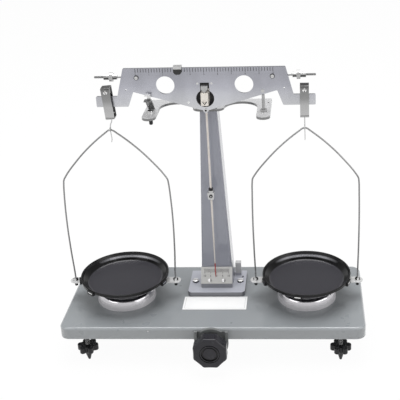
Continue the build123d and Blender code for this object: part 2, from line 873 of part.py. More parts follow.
def bearing_bracket():
    # Block on the rod's top, and an arm forward to a plate behind the beam's centre hole
    bottom = head_block_bottom()
    block_y = (rod_y - head_block_depth / 2, rod_y + head_block_depth / 2)
    block_x = (-head_block_width / 2, head_block_width / 2)
    bracket = box_between(block_x, block_y, (bottom, bottom + head_block_height))
    plate_back = bearing_plate_front_y + bearing_plate_thickness
    arm_x = (-bearing_arm_width / 2, bearing_arm_width / 2)
    bracket += box_between(arm_x, (plate_back, block_y[0]), (bottom, bottom + head_block_height))
    plate_x = (-bearing_plate_width / 2, bearing_plate_width / 2)
    plate_z = (bottom, knife_z + bearing_plate_over_knife)
    bracket += box_between(plate_x, (bearing_plate_front_y, plate_back), plate_z)
    bore = rod_diameter + 2 * seat_clearance
    return bracket - bar_z(0, rod_y, bottom, bottom + head_block_height, bore)


def bearing_block():
    # Stands out of the plate through the beam's centre hole; its top face carries the knife
    half = bearing_block_width / 2
    y = (bearing_block_front_y, bearing_plate_front_y)
    block = box_between((-half, half), y, (knife_z - bearing_block_height, knife_z))
    groove_half = bearing_groove_width / 2
    groove_top = knife_z - bearing_groove_drop
    groove = [(-groove_half, groove_top), (groove_half, groove_top), (0, groove_top - groove_half)]
    return block - prism_xz(groove, (y[0], y[0] + bearing_groove_depth))


# Beam and what it carries


def beam_outline():
    end = arm_length + beam_end_past_knife
    right = [
        (0, beam_apex_z),
        (arm_length - beam_inner_top_before_knife, beam_inner_top_z),
        (arm_length - beam_inner_bottom_before_knife, beam_ear_bottom_z),
        (end, beam_ear_bottom_z),
        (end, beam_ear_top_z),
        (arm_length - beam_shoulder_before_knife, beam_ear_top_z),
        (arm_length - beam_top_before_knife, beam_top_z),
    ]
    return right + [(-x, z) for x, z in reversed(right[1:])]


def beam():
    y = (beam_front_y, beam_back_y)
    plate = prism_xz(beam_outline(), y, beam_corner_radius)
    plate += bar_y(0, apex_screw_z, *y, 2 * apex_tab_radius)
    plate -= bar_y(0, centre_hole_z, *y, centre_hole_diameter)
    plate -= box_between((-notch_width / 2, notch_width / 2), y, (centre_hole_z, notch_top_z))
    plate -= bar_y(plumb_hole_x, plumb_hole_z, *y, plumb_hole_diameter)
    plate -= bar_y(0, apex_screw_z, *y, beam_screw_diameter)
    plate -= bar_y(tongue_x, stud_z, *y, stud_diameter)
    for side in SIDES.values():
        plate -= bar_y(side * window_x, window_z, *y, window_diameter)
        plate -= bar_y(side * rod_screw_x, rod_screw_z, *y, beam_screw_diameter)
        end_hole_x = arm_length - end_hole_before_knife
        plate -= bar_y(side * end_hole_x, end_hole_z, *y, end_hole_diameter)
        plate -= bar_y(side * holder_screw_x, holder_screw_z(), *y, beam_screw_diameter)
        half = end_knife_width / 2
        slot_x = (side * arm_length - half, side * arm_length + half)
        plate -= box_between(slot_x, y, (beam_ear_top_z - end_knife_root, beam_ear_top_z))
    return plate


def holder_bottom():
    return knife_z + holder_bottom_over_knife


def holder_screw_z():
    return (holder_bottom() + holder_top_z) / 2


def centre_knife_points():
    half = centre_knife_width / 2
    shoulder = knife_z + centre_knife_flank
    top = knife_z + centre_knife_height
    return [(0, knife_z), (half, shoulder), (half, top), (-half, top), (-half, shoulder)]


def centre_knife():
    return prism_xz(centre_knife_points(), (centre_knife_front_y, centre_knife_back_y))


def knife_holder():
    # Plate behind the beam that grips the centre knife
    y = (beam_back_y, beam_back_y + holder_thickness)
    plate = box_between((-holder_width / 2, holder_width / 2), y, (holder_bottom(), holder_top_z))
    plate -= prism_xz(centre_knife_points(), y)
    for side in SIDES.values():
        plate -= bar_y(side * holder_screw_x, holder_screw_z(), *y, beam_screw_diameter)
    return plate


def end_knives():
    half = end_knife_width / 2
    low = beam_ear_top_z - end_knife_root
    shoulder = knife_z - end_knife_flank
    points = [(-half, low), (half, low), (half, shoulder), (0, knife_z), (-half, shoulder)]
    y = (beam_mid_y - end_knife_length / 2, beam_mid_y + end_knife_length / 2)
    knife = prism_xz(points, y)
    return [Pos(side * arm_length) * knife for side in SIDES.values()]


def arrest_stud():
    stud = bar_y(tongue_x, stud_z, beam_front_y, stud_back_y, stud_diameter)
    head_front = beam_front_y - stud_head_height
    return stud + bar_y(tongue_x, stud_z, head_front, beam_front_y, stud_head_diameter)


def rod_axis_y():
    return beam_back_y + balance_rod_eye_thickness / 2


def balance_rods():
    half = balance_rod_eye_width / 2
    rods = []
    for side in SIDES.values():
        eye = box_between(
            (rod_screw_x - half, rod_screw_x + half),
            (beam_back_y, beam_back_y + balance_rod_eye_thickness),
            (rod_screw_z - half, rod_screw_z + half),
        )
        end = arm_length + balance_rod_past_knife
        rod = bar_x(rod_axis_y(), rod_screw_z, rod_screw_x + half, end, balance_rod_diameter)
        rod = chamfer(rod.edges().group_by(Axis.X)[-1], balance_rod_diameter / 6)
        piece = eye + rod
        piece -= bar_y(
            rod_screw_x, rod_screw_z, beam_back_y, beam_back_y + balance_rod_eye_thickness,
            beam_screw_diameter,
        )
        rods.append(piece if side > 0 else mirror(piece, Plane.YZ))
    return rods


def beam_screws():
    def screw(head_diameter, grip):
        piece = slotted_screw(
            head_diameter, beam_screw_head_height, beam_screw_diameter, beam_thickness + grip,
            beam_screw_slot_width, beam_screw_slot_depth,
        )
        return Rot(90, 0, 0) * piece

    screws = [Pos(0, beam_front_y, apex_screw_z) * screw(apex_screw_head_diameter, pointer_eye_thickness)]
    rod_screw = screw(beam_screw_head_diameter, balance_rod_eye_thickness)
    # The knife holder's two screws go in from behind
    holder_screw = Rot(0, 0, 180) * screw(apex_screw_head_diameter, holder_thickness)
    holder_back = beam_back_y + holder_thickness
    for side in SIDES.values():
        screws.append(Pos(side * rod_screw_x, beam_front_y, rod_screw_z) * rod_screw)
        screws.append(Pos(side * holder_screw_x, holder_back, holder_screw_z()) * holder_screw)
    return screws


def nut_hub(side):
    outer = nut_hub_inner_x + nut_hub_length
    hub = bar_x(rod_axis_y(), rod_screw_z, nut_hub_inner_x, outer, nut_hub_diameter)
    bore = balance_rod_diameter + 2 * running_clearance
    hub -= bar_x(rod_axis_y(), rod_screw_z, nut_hub_inner_x, outer, bore)
    return hub if side > 0 else mirror(hub, Plane.YZ)


def nut_disc(side):
    # Knurled ring: shallow grooves all round
    sketch = Circle(nut_disc_diameter / 2) - Circle(nut_hub_diameter / 2 + running_clearance)
    for rib in range(nut_disc_ribs):
        turn = Rot(0, 0, rib * 360 / nut_disc_ribs)
        sketch -= turn * Pos(nut_disc_diameter / 2, 0) * Circle(nut_disc_rib_depth)
    disc = extrude(Pos(0, 0, -nut_disc_thickness / 2) * sketch, nut_disc_thickness)
    disc_x = side * (arm_length - nut_disc_before_knife)
    return Pos(disc_x, rod_axis_y(), rod_screw_z) * Rot(0, 90, 0) * disc


# Pointer


def pointer_axis_y():
    return beam_back_y + pointer_eye_thickness / 2


def pointer_rod():
    y = pointer_axis_y()
    rod = bar_z(0, y, pointer_taper_top_z, apex_screw_z, pointer_diameter)
    eye_y = (beam_back_y, beam_back_y + pointer_eye_thickness)
    rod += bar_y(0, apex_screw_z, *eye_y, pointer_eye_diameter)
    rod += cone_z(
        0, y, pointer_taper_bottom_z, pointer_taper_top_z, pointer_end_diameter, pointer_diameter
    )
    return rod - bar_y(0, apex_screw_z, *eye_y, beam_screw_diameter)


def pointer_tip():
    y = pointer_axis_y()
    point_top = pointer_tip_z + pointer_tip_point
    tip = bar_z(0, y, point_top, pointer_taper_bottom_z, pointer_tip_diameter)
    return tip + cone_z(0, y, pointer_tip_z, point_top, pointer_end_diameter / 3, pointer_tip_diameter)


def pointer_weight():
    y = pointer_axis_y()
    top = weight_bottom_z + weight_height
    points = [
        (-weight_bottom_width / 2, weight_bottom_z),
        (weight_bottom_width / 2, weight_bottom_z),
        (weight_top_width / 2, top),
        (-weight_top_width / 2, top),
    ]
    depth = (y - weight_depth / 2, y + weight_depth / 2)
    weight = prism_xz(points, depth, weight_corner_radius)
    weight += bar_z(0, y, top, top + weight_neck_height, weight_neck_diameter)
    bore = pointer_diameter + 2 * running_clearance
    weight -= bar_z(0, y, weight_bottom_z, top + weight_neck_height, bore)
    screw_z = weight_bottom_z + weight_height / 2
    return weight - bar_y(0, screw_z, depth[0], y - bore / 2, weight_screw_diameter)


def weight_screw():
    y = pointer_axis_y()
    length = weight_depth / 2 - pointer_diameter / 2 - running_clearance
    screw = slotted_screw(
        weight_screw_head_diameter, weight_screw_head_height, weight_screw_diameter, length,
        beam_screw_slot_width, beam_screw_slot_depth,
    )
    screw_z = weight_bottom_z + weight_height / 2
    return Pos(0, y - weight_depth / 2, screw_z) * Rot(90, 0, 0) * screw


def rider():
    # Saddle over the beam's top edge
    half = rider_width / 2
    low = beam_top_z - rider_below_top
    top = beam_top_z + touch_gap + rider_over_beam
    slot_y = (beam_front_y - touch_gap, beam_back_y + touch_gap)
    y = (slot_y[0] - rider_wall, slot_y[1] + rider_wall)
    saddle = box_between((rider_x - half, rider_x + half), y, (low, top))
    saddle = fillet(saddle.edges().filter_by(Axis.Y).group_by(Axis.Z)[0], rider_bottom_radius)
    slot = box_between((rider_x - rider_width, rider_x + rider_width), slot_y, (low, top - rider_over_beam))
    return saddle - slot


# Stirrups and hooks


def stirrup_lean(side):
    # The left stirrup is caught leaning on its knife
    lean = left_stirrup_lean if side < 0 else 0.0
    knife = Pos(side * arm_length, beam_mid_y, knife_z)
    return knife * Rot(0, -lean, 0)


def stirrup(side):
    # Closed strap loop round the ear of the beam, in the knife's frame
    outer = stirrup_gap + 2 * stirrup_sheet
    top = stirrup_top_over_knife
    bottom = top - stirrup_height
    inner_height = stirrup_height - 2 * stirrup_sheet
    sketch = Rectangle(outer, stirrup_height)
    sketch = fillet(sketch.vertices(), stirrup_corner_radius)
    sketch -= Rectangle(stirrup_gap, inner_height)
    middle = Plane((-stirrup_width / 2, 0, (top + bottom) / 2), x_dir=(0, 1, 0), z_dir=(1, 0, 0))
    loop = extrude(middle * sketch, stirrup_width)
    # V-shaped window in each face, through which the knife's end shows
    half = stirrup_window_width / 2
    window = [(-half, stirrup_window_over_knife), (half, stirrup_window_over_knife), (0, -half / 2)]
    loop -= prism_xz(window, (-outer, outer))
    hole = hook_diameter + 2 * hook_hole_clearance
    loop -= bar_z(0, 0, bottom - stirrup_sheet, bottom + 2 * stirrup_sheet, hole)
    return stirrup_lean(side) * loop


def stirrup_bearing(side):
    # Block under the top of the loop, with a wide V groove that sits on the knife's edge
    half = stirrup_bearing_width / 2
    top = stirrup_top_over_knife - stirrup_sheet
    points = [
        (-half, top), (half, top), (half, -stirrup_groove_depth), (half * 0.55, -stirrup_groove_depth),
        (0, 0), (-half * 0.55, -stirrup_groove_depth), (-half, -stirrup_groove_depth),
    ]
    y = (-stirrup_gap / 2, stirrup_gap / 2)
    return stirrup_lean(side) * prism_xz(points, y)


def wire_between(start, end, diameter):
    start = Vector(*start)
    run = Vector(*end) - start
    return Plane(start, z_dir=run) * Pos(0, 0, run.length / 2) * Cylinder(diameter / 2, run.length)


def hook(side):
    # Wire with a riveted head in the stirrup, a seat under the hanger's apex and a tail below
    lean = stirrup_lean(side)
    bar_top = stirrup_top_over_knife - stirrup_height + stirrup_sheet
    head_place = lean * Pos(0, 0, bar_top + hook_head_height / 2)
    head = head_place * Cylinder(hook_head_diameter / 2, hook_head_height)
    start = (lean * Pos(0, 0, bar_top + hook_head_height / 2)).position
    below = (lean * Pos(0, 0, bar_top - 3 * stirrup_sheet)).position
    x = side * arm_length
    wire_radius = hook_diameter / 2
    seat_radius = bow_wire_diameter / 2 + touch_gap + wire_radius
    seat_z = bow_apex_z
    back = (x, beam_mid_y + seat_radius, seat_z)
    front = (x, beam_mid_y - seat_radius, seat_z)
    knee = (x, beam_mid_y + seat_radius, seat_z + hook_front_rise + hook_diameter)
    wire = wire_between(tuple(start), tuple(below), hook_diameter)
    wire += Pos(*tuple(below)) * Sphere(wire_radius)
    wire += wire_between(tuple(below), knee, hook_diameter)
    wire += Pos(*knee) * Sphere(wire_radius)
    wire += wire_between(back, knee, hook_diameter)
    wire += wire_between(front, (front[0], front[1], front[2] + hook_front_rise), hook_diameter)
    wire += Pos(front[0], front[1], front[2] + hook_front_rise) * Sphere(wire_radius)
    seat = Pos(x, beam_mid_y, seat_z) * Rot(0, 90, 0) * Torus(seat_radius, wire_radius)
    below_seat = box_between(
        (x - hook_diameter, x + hook_diameter),
        (beam_mid_y - 2 * seat_radius, beam_mid_y + 2 * seat_radius),
        (seat_z - 2 * seat_radius, seat_z),
    )
    wire += seat & below_seat
    wire += bar_z(x, beam_mid_y, hook_tail_z, seat_z - seat_radius, hook_tail_diameter)
    return head + wire


# Hangers


def bow_path():
    # One half is a leg, a shoulder, a slack arm and half of the apex; then its mirror image
    shoulder = math.radians(bow_shoulder_angle)
    apex = math.radians(bow_apex_angle)
    apex_end = (
        bow_apex_radius * math.sin(apex),
        bow_apex_z - bow_apex_radius * (1 - math.cos(apex)),
    )
    turn = math.pi / 2 - shoulder
    arm_start_x = bow_half_width - bow_shoulder_radius * (1 - math.cos(turn))
    chord_slope = math.tan((shoulder + apex) / 2)
    arm_start_z = apex_end[1] - (arm_start_x - apex_end[0]) * chord_slope
    leg_top = (bow_half_width, arm_start_z - bow_shoulder_radius * math.sin(turn))
    leg_bottom = (bow_half_width, carrier_top_z - carrier_sheet - lug_cap_height + lug_cap_roof)
    half_turn = turn / 2
    shoulder_mid = (
        bow_half_width - bow_shoulder_radius * (1 - math.cos(half_turn)),
        leg_top[1] + bow_shoulder_radius * math.sin(half_turn),
    )
    arm_start = (arm_start_x, arm_start_z)
    edges = []
    for mirror_x in (1, -1):
        flip = [(mirror_x * x, z) for x, z in (leg_bottom, leg_top, shoulder_mid, arm_start, apex_end)]
        edges.append(Line(flip[0], flip[1]))
        edges.append(ThreePointArc(flip[1], flip[2], flip[3]))
        tangent = (-mirror_x * math.cos(shoulder), math.sin(shoulder))
        edges.append(TangentArc(flip[3], flip[4], tangent=tangent))
    edges.append(ThreePointArc(apex_end, (0, bow_apex_z), (-apex_end[0], apex_end[1])))
    return edges


def hanger_bow(side):
    front = Plane((side * arm_length, beam_mid_y, 0), x_dir=(1, 0, 0), z_dir=(0, -1, 0))
    path = front * Wire(bow_path())
    start = path @ 0
    section = Plane(start, z_dir=path % 0) * Circle(bow_wire_diameter / 2)
    return sweep(section, path)


def pan_carrier(side):
    # Straight strap from leg to leg with round ends, and a round seat in the middle
    plan = Rectangle(2 * bow_half_width, carrier_width) + Circle(carrier_disc_diameter / 2)
    for end in SIDES.values():
        plan += Pos(end * bow_half_width, 0) * Circle(carrier_width / 2)
        plan -= Pos(end * bow_half_width, 0) * Circle(bow_wire_diameter / 2 + seat_clearance)
    strap = extrude(Pos(0, 0, carrier_top_z - carrier_sheet) * plan, carrier_sheet)
    return Pos(side * arm_length, beam_mid_y, 0) * strap


def lug_nuts(side):
    # A hexagon nut above each lug and a round cap nut below it
    bore = bow_wire_diameter + 2 * seat_clearance
    pieces = []
    for end in SIDES.values():
        x = end * bow_half_width
        pieces.append(hexagon_z(x, 0, carrier_top_z, carrier_top_z + lug_nut_height, lug_nut_across, bore))
        top = carrier_top_z - carrier_sheet
        cap = bar_z(x, 0, top - lug_cap_height, top, lug_cap_diameter)
        cap = fillet(cap.edges().group_by(Axis.Z)[0], lug_cap_diameter / 4)
        pieces.append(cap - bar_z(x, 0, top - lug_cap_height + lug_cap_roof, top, bore))
    return [Pos(side * arm_length, beam_mid_y, 0) * piece for piece in pieces]


def pan_tab(angle):
    # Small lug that hangs from the lip, with a slot across its face
    rim = pan_rim_diameter / 2
    face = rim + pan_tab_depth
    top = pan_rim_z - pan_lip_radius
    tab = box_between(
        (rim - pan_sheet, face), (-pan_tab_width / 2, pan_tab_width / 2), (top - pan_tab_height, top)
    )
    tab = fillet(tab.edges().filter_by(Axis.Z).group_by(Axis.X)[-1], pan_tab_depth / 2)
    slot_top = top - pan_tab_height + 2 * pan_tab_inset_height
    tab -= box_between(
        (face - pan_tab_inset, face),
        (-pan_tab_inset_width / 2, pan_tab_inset_width / 2),
        (slot_top - pan_tab_inset_height, slot_top),
    )
    return Rot(0, 0, angle) * tab


def pan(side):
    # Shallow dish: flat floor, a corner that rises into a sloping wall, and a thick lip
    rim = pan_rim_diameter / 2
    floor = pan_floor_diameter / 2
    under = pan_floor_z - pan_sheet
    lip_bottom = pan_rim_z - pan_lip_height
    section = [(0, under), (floor, under), (rim - pan_sheet, lip_bottom), (rim, lip_bottom),
               (rim, pan_rim_z), (0, pan_rim_z)]
    body = revolve(Plane.XZ * make_face(Polyline(*section, close=True)), Axis.Z)
    corner = body.edges().filter_by(GeomType.CIRCLE).sort_by(Axis.Z)[0]
    body = fillet(corner, pan_corner_radius)
    wall_x = rim - 2 * pan_sheet
    hollow = [(0, pan_floor_z), (floor - pan_sheet / 2, pan_floor_z), (wall_x, lip_bottom),
              (rim - pan_sheet, pan_rim_z), (0, pan_rim_z)]
    inside = revolve(Plane.XZ * make_face(Polyline(*hollow, close=True)), Axis.Z)
    corner = inside.edges().filter_by(GeomType.CIRCLE).sort_by(Axis.Z)[0]
    inside = fillet(corner, pan_corner_radius - pan_sheet)
    dish = body - inside
    lip_edges = dish.edges().filter_by(GeomType.CIRCLE).sort_by(Axis.Z)[-2:]
    dish = fillet(lip_edges, pan_lip_radius)
    for angle in left_pan_tab_angles if side < 0 else right_pan_tab_angles:
        dish += pan_tab(angle)
    return Pos(side * arm_length, beam_mid_y, 0) * dish


nodes = {
    "base_plate": base_plate(),
    "label_plate": label_plate(),
    "pan_rests": pan_rests(),
    "foot_inserts": foot_inserts(),
    "rear_foot": rear_foot(),
    "shaft_housing": shaft_housing(),
    "rear_shaft_bracket": rear_shaft_bracket(),
    "cam_shaft": cam_shaft(),
    "brake_knob": brake_knob(),
    "knob_cap": knob_cap(),
    "lift_cam": lift_cam(),
    "column_flange": column_flange(),
    "column": column(),
    "column_screws": column_screws(),
    "scale_block": scale_block(),
    "pointer_scale": pointer_scale(),
    "scale_screws": scale_screws(),
    "arrest_arm": arrest_arm(),
    "rod_bush": rod_bush(),
    "rest_post": rest_post(),
    "rest_post_nut": rest_post_nut(),
    "rest_fork": rest_fork(),
    "rest_screw": rest_screw(),
    "lift_rod": lift_rod(),
    "bearing_bracket": bearing_bracket(),
    "bearing_block": bearing_block(),
    "beam": beam(),
    "centre_knife": centre_knife(),
    "knife_holder": knife_holder(),
    "end_knives": end_knives(),
    "arrest_stud": arrest_stud(),
    "balance_rods": balance_rods(),
    "beam_screws": beam_screws(),
    "pointer_rod": pointer_rod(),
    "pointer_tip": pointer_tip(),
    "pointer_weight": pointer_weight(),
    "weight_screw": weight_screw(),
    "rider": rider(),
}
for name, side in SIDES.items():
    nodes[f"{name}_foot_stem"] = foot_stem(side)
    nodes[f"{name}_foot_knob"] = foot_knob(side)
    nodes[f"{name}_nut_hub"] = nut_hub(side)
    nodes[f"{name}_nut_disc"] = nut_disc(side)
    nodes[f"{name}_stirrup"] = stirrup(side)
    nodes[f"{name}_stirrup_bearing"] = stirrup_bearing(side)
    nodes[f"{name}_hook"] = hook(side)
    nodes[f"{name}_hanger_bow"] = hanger_bow(side)
    nodes[f"{name}_pan_carrier"] = pan_carrier(side)
    nodes[f"{name}_lug_nuts"] = lug_nuts(side)
    nodes[f"{name}_pan"] = pan(side)

os.makedirs("parts", exist_ok=True)
to_origin = Pos(0, origin_shift_y, base_height)
for name, shape in nodes.items():
    pieces = shape if isinstance(shape, list) else [shape]
    solids = [to_origin * solid for piece in pieces for solid in piece.solids()]
    export_step(solids[0] if len(solids) == 1 else Compound(children=solids), f"parts/{name}.step")
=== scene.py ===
import bmesh
import bpy
import math
from mathutils import Matrix, Vector


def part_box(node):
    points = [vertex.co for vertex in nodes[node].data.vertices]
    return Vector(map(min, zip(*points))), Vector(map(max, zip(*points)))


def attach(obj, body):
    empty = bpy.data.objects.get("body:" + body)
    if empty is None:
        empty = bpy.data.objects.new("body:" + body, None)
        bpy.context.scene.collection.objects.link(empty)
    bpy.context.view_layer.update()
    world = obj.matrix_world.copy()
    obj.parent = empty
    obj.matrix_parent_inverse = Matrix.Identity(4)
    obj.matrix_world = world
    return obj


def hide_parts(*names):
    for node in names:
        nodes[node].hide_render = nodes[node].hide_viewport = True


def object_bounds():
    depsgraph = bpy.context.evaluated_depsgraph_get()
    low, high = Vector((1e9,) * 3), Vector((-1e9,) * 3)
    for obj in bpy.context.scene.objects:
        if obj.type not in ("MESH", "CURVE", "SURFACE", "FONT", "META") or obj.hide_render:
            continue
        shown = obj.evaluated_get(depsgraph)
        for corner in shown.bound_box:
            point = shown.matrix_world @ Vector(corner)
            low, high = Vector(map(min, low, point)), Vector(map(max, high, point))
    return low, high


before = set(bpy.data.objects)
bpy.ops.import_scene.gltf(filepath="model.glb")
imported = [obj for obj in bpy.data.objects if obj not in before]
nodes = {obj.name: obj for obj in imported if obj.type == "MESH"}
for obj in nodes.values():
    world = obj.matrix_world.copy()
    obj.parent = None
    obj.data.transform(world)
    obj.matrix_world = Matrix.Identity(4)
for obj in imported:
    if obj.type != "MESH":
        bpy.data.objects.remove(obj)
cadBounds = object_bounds()
sides = ("left", "right")
white = (1, 1, 1, 1)
print("frame loaded,", len(nodes), "nodes")


def middleOf(node):
    low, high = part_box(node)
    return (low + high) / 2


# Where the main parts lie, read from the frame

beamLow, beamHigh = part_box("beam")
beamMidY = (beamLow.y + beamHigh.y) / 2
baseLow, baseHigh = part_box("base_plate")
armLow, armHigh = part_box("arrest_arm")
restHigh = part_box("rest_fork")[1]
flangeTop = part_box("column_flange")[1].z - 0.018  # the post on it is 18 mm high
scaleLow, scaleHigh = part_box("pointer_scale")
scaleTilt = math.radians(29.0)
scaleOut = Vector((0, -math.cos(scaleTilt), math.sin(scaleTilt)))
panCentre = {side: middleOf(f"{side}_pan_carrier") for side in sides}

# Where a finish changes: heights, and for the scale's screws a distance along the way they face
marks = {
    "flangeEdge": flangeTop - 0.0004, "postFoot": flangeTop + 0.003, "flangeDome": flangeTop + 0.0018,
    "armEdge": armHigh.z - 0.0002, "bandFrom": armHigh.z + 0.0015, "bandTo": restHigh.z - 0.0052,
    "scaleDome": scaleOut.dot(scaleLow) + 0.0011,
}


# Node trees and shader maths

def clearTree(owner):
    # The empty node tree of a material or a world
    owner.use_nodes = True
    owner.node_tree.nodes.clear()
    return owner.node_tree


def addNode(tree, kind, settings=None, inputs=()):
    # Settings come first; wires, sockets and nodes among the inputs are linked, other values set
    node = tree.nodes.new(kind)
    for key, value in (settings or {}).items():
        if key == "stops":
            elements = node.color_ramp.elements
            while len(elements) < len(value):
                elements.new(1)
            for element, (position, level) in zip(elements, value):
                element.position = position
                element.color = (level, level, level, 1)
        else:
            setattr(node, key, value)
    pairs = inputs.items() if isinstance(inputs, dict) else enumerate(inputs)
    for key, value in pairs:
        if isinstance(value, Wire):
            value = value.socket
        elif isinstance(value, bpy.types.Node):
            value = value.outputs[0]
        if isinstance(value, bpy.types.NodeSocket):
            tree.links.new(value, node.inputs[key])
        elif value is not None:
            node.inputs[key].default_value = value
    return node


class Wire:
    # One socket of a shader tree; arithmetic on it adds Math nodes
    def __init__(self, finish, socket):
        self.finish = finish
        self.socket = socket

    def maths(self, operation, first, second=None):
        return self.finish.add("ShaderNodeMath", {"operation": operation}, [first, second])

    def __add__(self, other):
        return self.maths("ADD", self, other)

    def __sub__(self, other):
        return self.maths("SUBTRACT", self, other)

    def __rsub__(self, other):
        return self.maths("SUBTRACT", other, self)

    def __mul__(self, other):
        return self.maths("MULTIPLY", self, other)

    def __truediv__(self, other):
        return self.maths("DIVIDE", self, other)

    def __gt__(self, other):
        return self.maths("GREATER_THAN", self, other)

    def __lt__(self, other):
        return self.maths("LESS_THAN", self, other)

    def __abs__(self):
        return self.maths("ABSOLUTE", self)

    __radd__ = __add__
    __rmul__ = __mul__

    def sine(self):
        return self.maths("SINE", self)

    def within(self, low, high):
        # 1 between two values and 0 outside them
        return (self > low) * (self < high)

    def spread(self, low, high):
        # From low at 0 to high at 1
        return self * (high - low) + low

    def fromAxis(self, other):
        # Distance from an axis that both wires are measured from, square to each other
        return self.maths("SQRT", self * self + other * other)


class Finish:
    # A material under construction, round one Principled shader
    def __init__(self, name, **sockets):
        self.material = bpy.data.materials.new(name)
        self.tree = clearTree(self.material)
        self.shader = self.tree.nodes.new("ShaderNodeBsdfPrincipled")
        addNode(self.tree, "ShaderNodeOutputMaterial", inputs=[self.shader])
        self.place = self.add("ShaderNodeTexCoord", output="Object")
        self.set(**sockets)

    def add(self, kind, settings=None, inputs=(), output=0):
        return Wire(self, addNode(self.tree, kind, settings, inputs).outputs[output])

    def set(self, **sockets):
        for name, value in sockets.items():
            socket = self.shader.inputs[name.replace("_", " ")]
            if isinstance(value, Wire):
                self.tree.links.new(value.socket, socket)
            else:
                socket.default_value = value

    def stretched(self, x, y, z, turn=0):
        # Object coordinates, drawn out where a number is small and turned about Y
        sockets = {"Vector": self.place, "Rotation": (0, turn, 0), "Scale": (x, y, z)}
        return self.add("ShaderNodeMapping", inputs=sockets)

    def noise(self, size, detail=3, where=None):
        # Grains about that many metres across, from 0 to 1
        sockets = {"Vector": where or self.place, "Scale": 1 / size, "Detail": detail}
        return self.add("ShaderNodeTexNoise", inputs=sockets)

    def ramp(self, value, *stops):
        return self.add("ShaderNodeValToRGB", {"stops": stops}, [value])

    def patches(self, size, detail, low, high, where=None):
        # Noise in patches: 0 up to one level, 1 from another
        return self.ramp(self.noise(size, detail, where), (low, 0), (high, 1))

    def blend(self, factor, first, second):
        # On a Mix node the colours are inputs 6 and 7 and output 2
        return self.add("ShaderNodeMix", {"data_type": "RGBA"}, {0: factor, 6: first, 7: second}, 2)

    def bump(self, height, depth, strength=1.0):
        sockets = {"Height": height, "Distance": depth, "Strength": strength}
        return self.add("ShaderNodeBump", inputs=sockets)

    def along(self, axis):
        return self.add("ShaderNodeSeparateXYZ", inputs=[self.place], output=axis)

    def share(self, axis, low, high):
        # 0 at low and 1 at high along an axis
        return (self.along(axis) - low) / (high - low)

    def distance(self, middle):
        # Distance from a line along Y
        return (self.along("X") - middle.x).fromAxis(self.along("Z") - middle.z)


def shade(level, tint=(1, 1, 1)):
    # A display grey from 0 to 255, tinted, as linear colour
    linear = [((level * part / 255 + 0.055) / 1.055) ** 2.4 for part in tint]
    return (*linear, 1)


# Paints and plastics

baseLook = {
    "grey": shade(142, (0.972, 1.0, 1.022)), "cloudGrey": shade(135, (0.98, 1.0, 1.012)),
    "grimeAndShade": shade(112, (1.0, 0.995, 0.98)), "clouded": 0.22, "specksFrom": 0.72, "specked": 0.04,
    "dirty": 0.2, "skirtDrop": 0.003, "skirtShade": 0.22, "peelDepth": 0.00003,
}


def baseEnamel():
    # Mottled grey, with dirt along the hem and painted shade darkening the skirt
    look = baseLook
    paint = Finish("base_enamel", Coat_Weight=1.0, Coat_Roughness=0.035, Specular_IOR_Level=0.5)
    mottled = paint.blend(paint.noise(0.07, 2) * look["clouded"], look["grey"], look["cloudGrey"])
    specks = (paint.noise(0.0012, 2) > look["specksFrom"]) * look["specked"]
    hem = paint.ramp(paint.share("Z", baseLow.z, baseHigh.z), (0, 1), (0.5, 0))
    dirt = paint.patches(0.011, 5, 0.5, 0.72) * hem * look["dirty"]
    # Painted shade: the skirt below the top edge is blended toward the grime colour
    skirt = (paint.along("Z") < baseHigh.z - look["skirtDrop"]) * look["skirtShade"]
    paint.set(
        Base_Color=paint.blend(dirt + skirt + specks, mottled, look["grimeAndShade"]),
        Roughness=paint.noise(0.03).spread(0.22, 0.38),
        Normal=paint.bump(paint.noise(0.0026, 1), look["peelDepth"], 0.1),
    )
    return paint.material


castLook = {
    "tint": (0.975, 0.985, 1.035), "clouded": 0.5, "cloudLift": 10, "sideShaded": 0.85, "sideShadeLevel": 0.55,
    "litShare": 0.9, "litLift": 22, "chipped": 0.18, "chipLevel": 0.7, "grainDepth": 0.00008,
}


def castEnamel(name, level, coat, gloss, tint=castLook["tint"], shadedBelow=None, litAbove=None):
    # Enamel over a casting, with a few chips; painted shade on the sides below one height, painted light
    # above another
    look = castLook
    paint = Finish(name, Coat_Weight=coat, Coat_Roughness=gloss)
    grain = paint.noise(0.0016, 4)
    clouds = paint.noise(0.04, 2) * look["clouded"]
    coloured = paint.blend(clouds, shade(level, tint), shade(level + look["cloudLift"], tint))
    if shadedBelow:
        # Painted shade on the sides below that height
        sideShade = (paint.along("Z") < shadedBelow) * look["sideShaded"]
        coloured = paint.blend(sideShade, coloured, shade(level * look["sideShadeLevel"], tint))
    if litAbove:
        # Painted light above that height
        paintedLight = (paint.along("Z") > litAbove) * look["litShare"]
        coloured = paint.blend(paintedLight, coloured, shade(level + look["litLift"]))
    chips = paint.patches(0.006, 6, 0.72, 0.75) * look["chipped"]
    paint.set(
        Base_Color=paint.blend(chips, coloured, shade(level * look["chipLevel"])),
        Roughness=grain.spread(0.28, 0.48),
        Normal=paint.bump(grain, look["grainDepth"], 0.16),
    )
    return paint.material


# The zones are ramps over the pan's height, and over its depth for the part at the back
panLook = {
    "wall": (shade(12, (1, 0.98, 1.12)), shade(20, (1, 0.98, 1.1))), "wallRubbed": 0.35,
    "floor": (shade(48, (1, 0.985, 1.09)), shade(58, (1, 0.985, 1.08))), "floorRubbed": 0.3,
    "highlight": shade(146, (1, 1, 1.03)), "paintedSheen": 0.8, "dark": shade(6),
    "dust": shade(92), "dustFrom": 0.75, "dusty": 0.08, "peelDepth": 0.00004,
    "crescentMetal": 0.3, "shadowMetal": 0.6, "wallMetal": 0.3,
    "floorZone": ((0.2, 1), (0.26, 0)), "backZone": ((0.78, 0), (0.9, 1)),
    "crescentZone": ((0.44, 0), (0.52, 1), (0.6, 1), (0.7, 0)),
    "shadowZone": ((0.22, 0), (0.27, 1), (0.38, 1), (0.44, 0)),
}


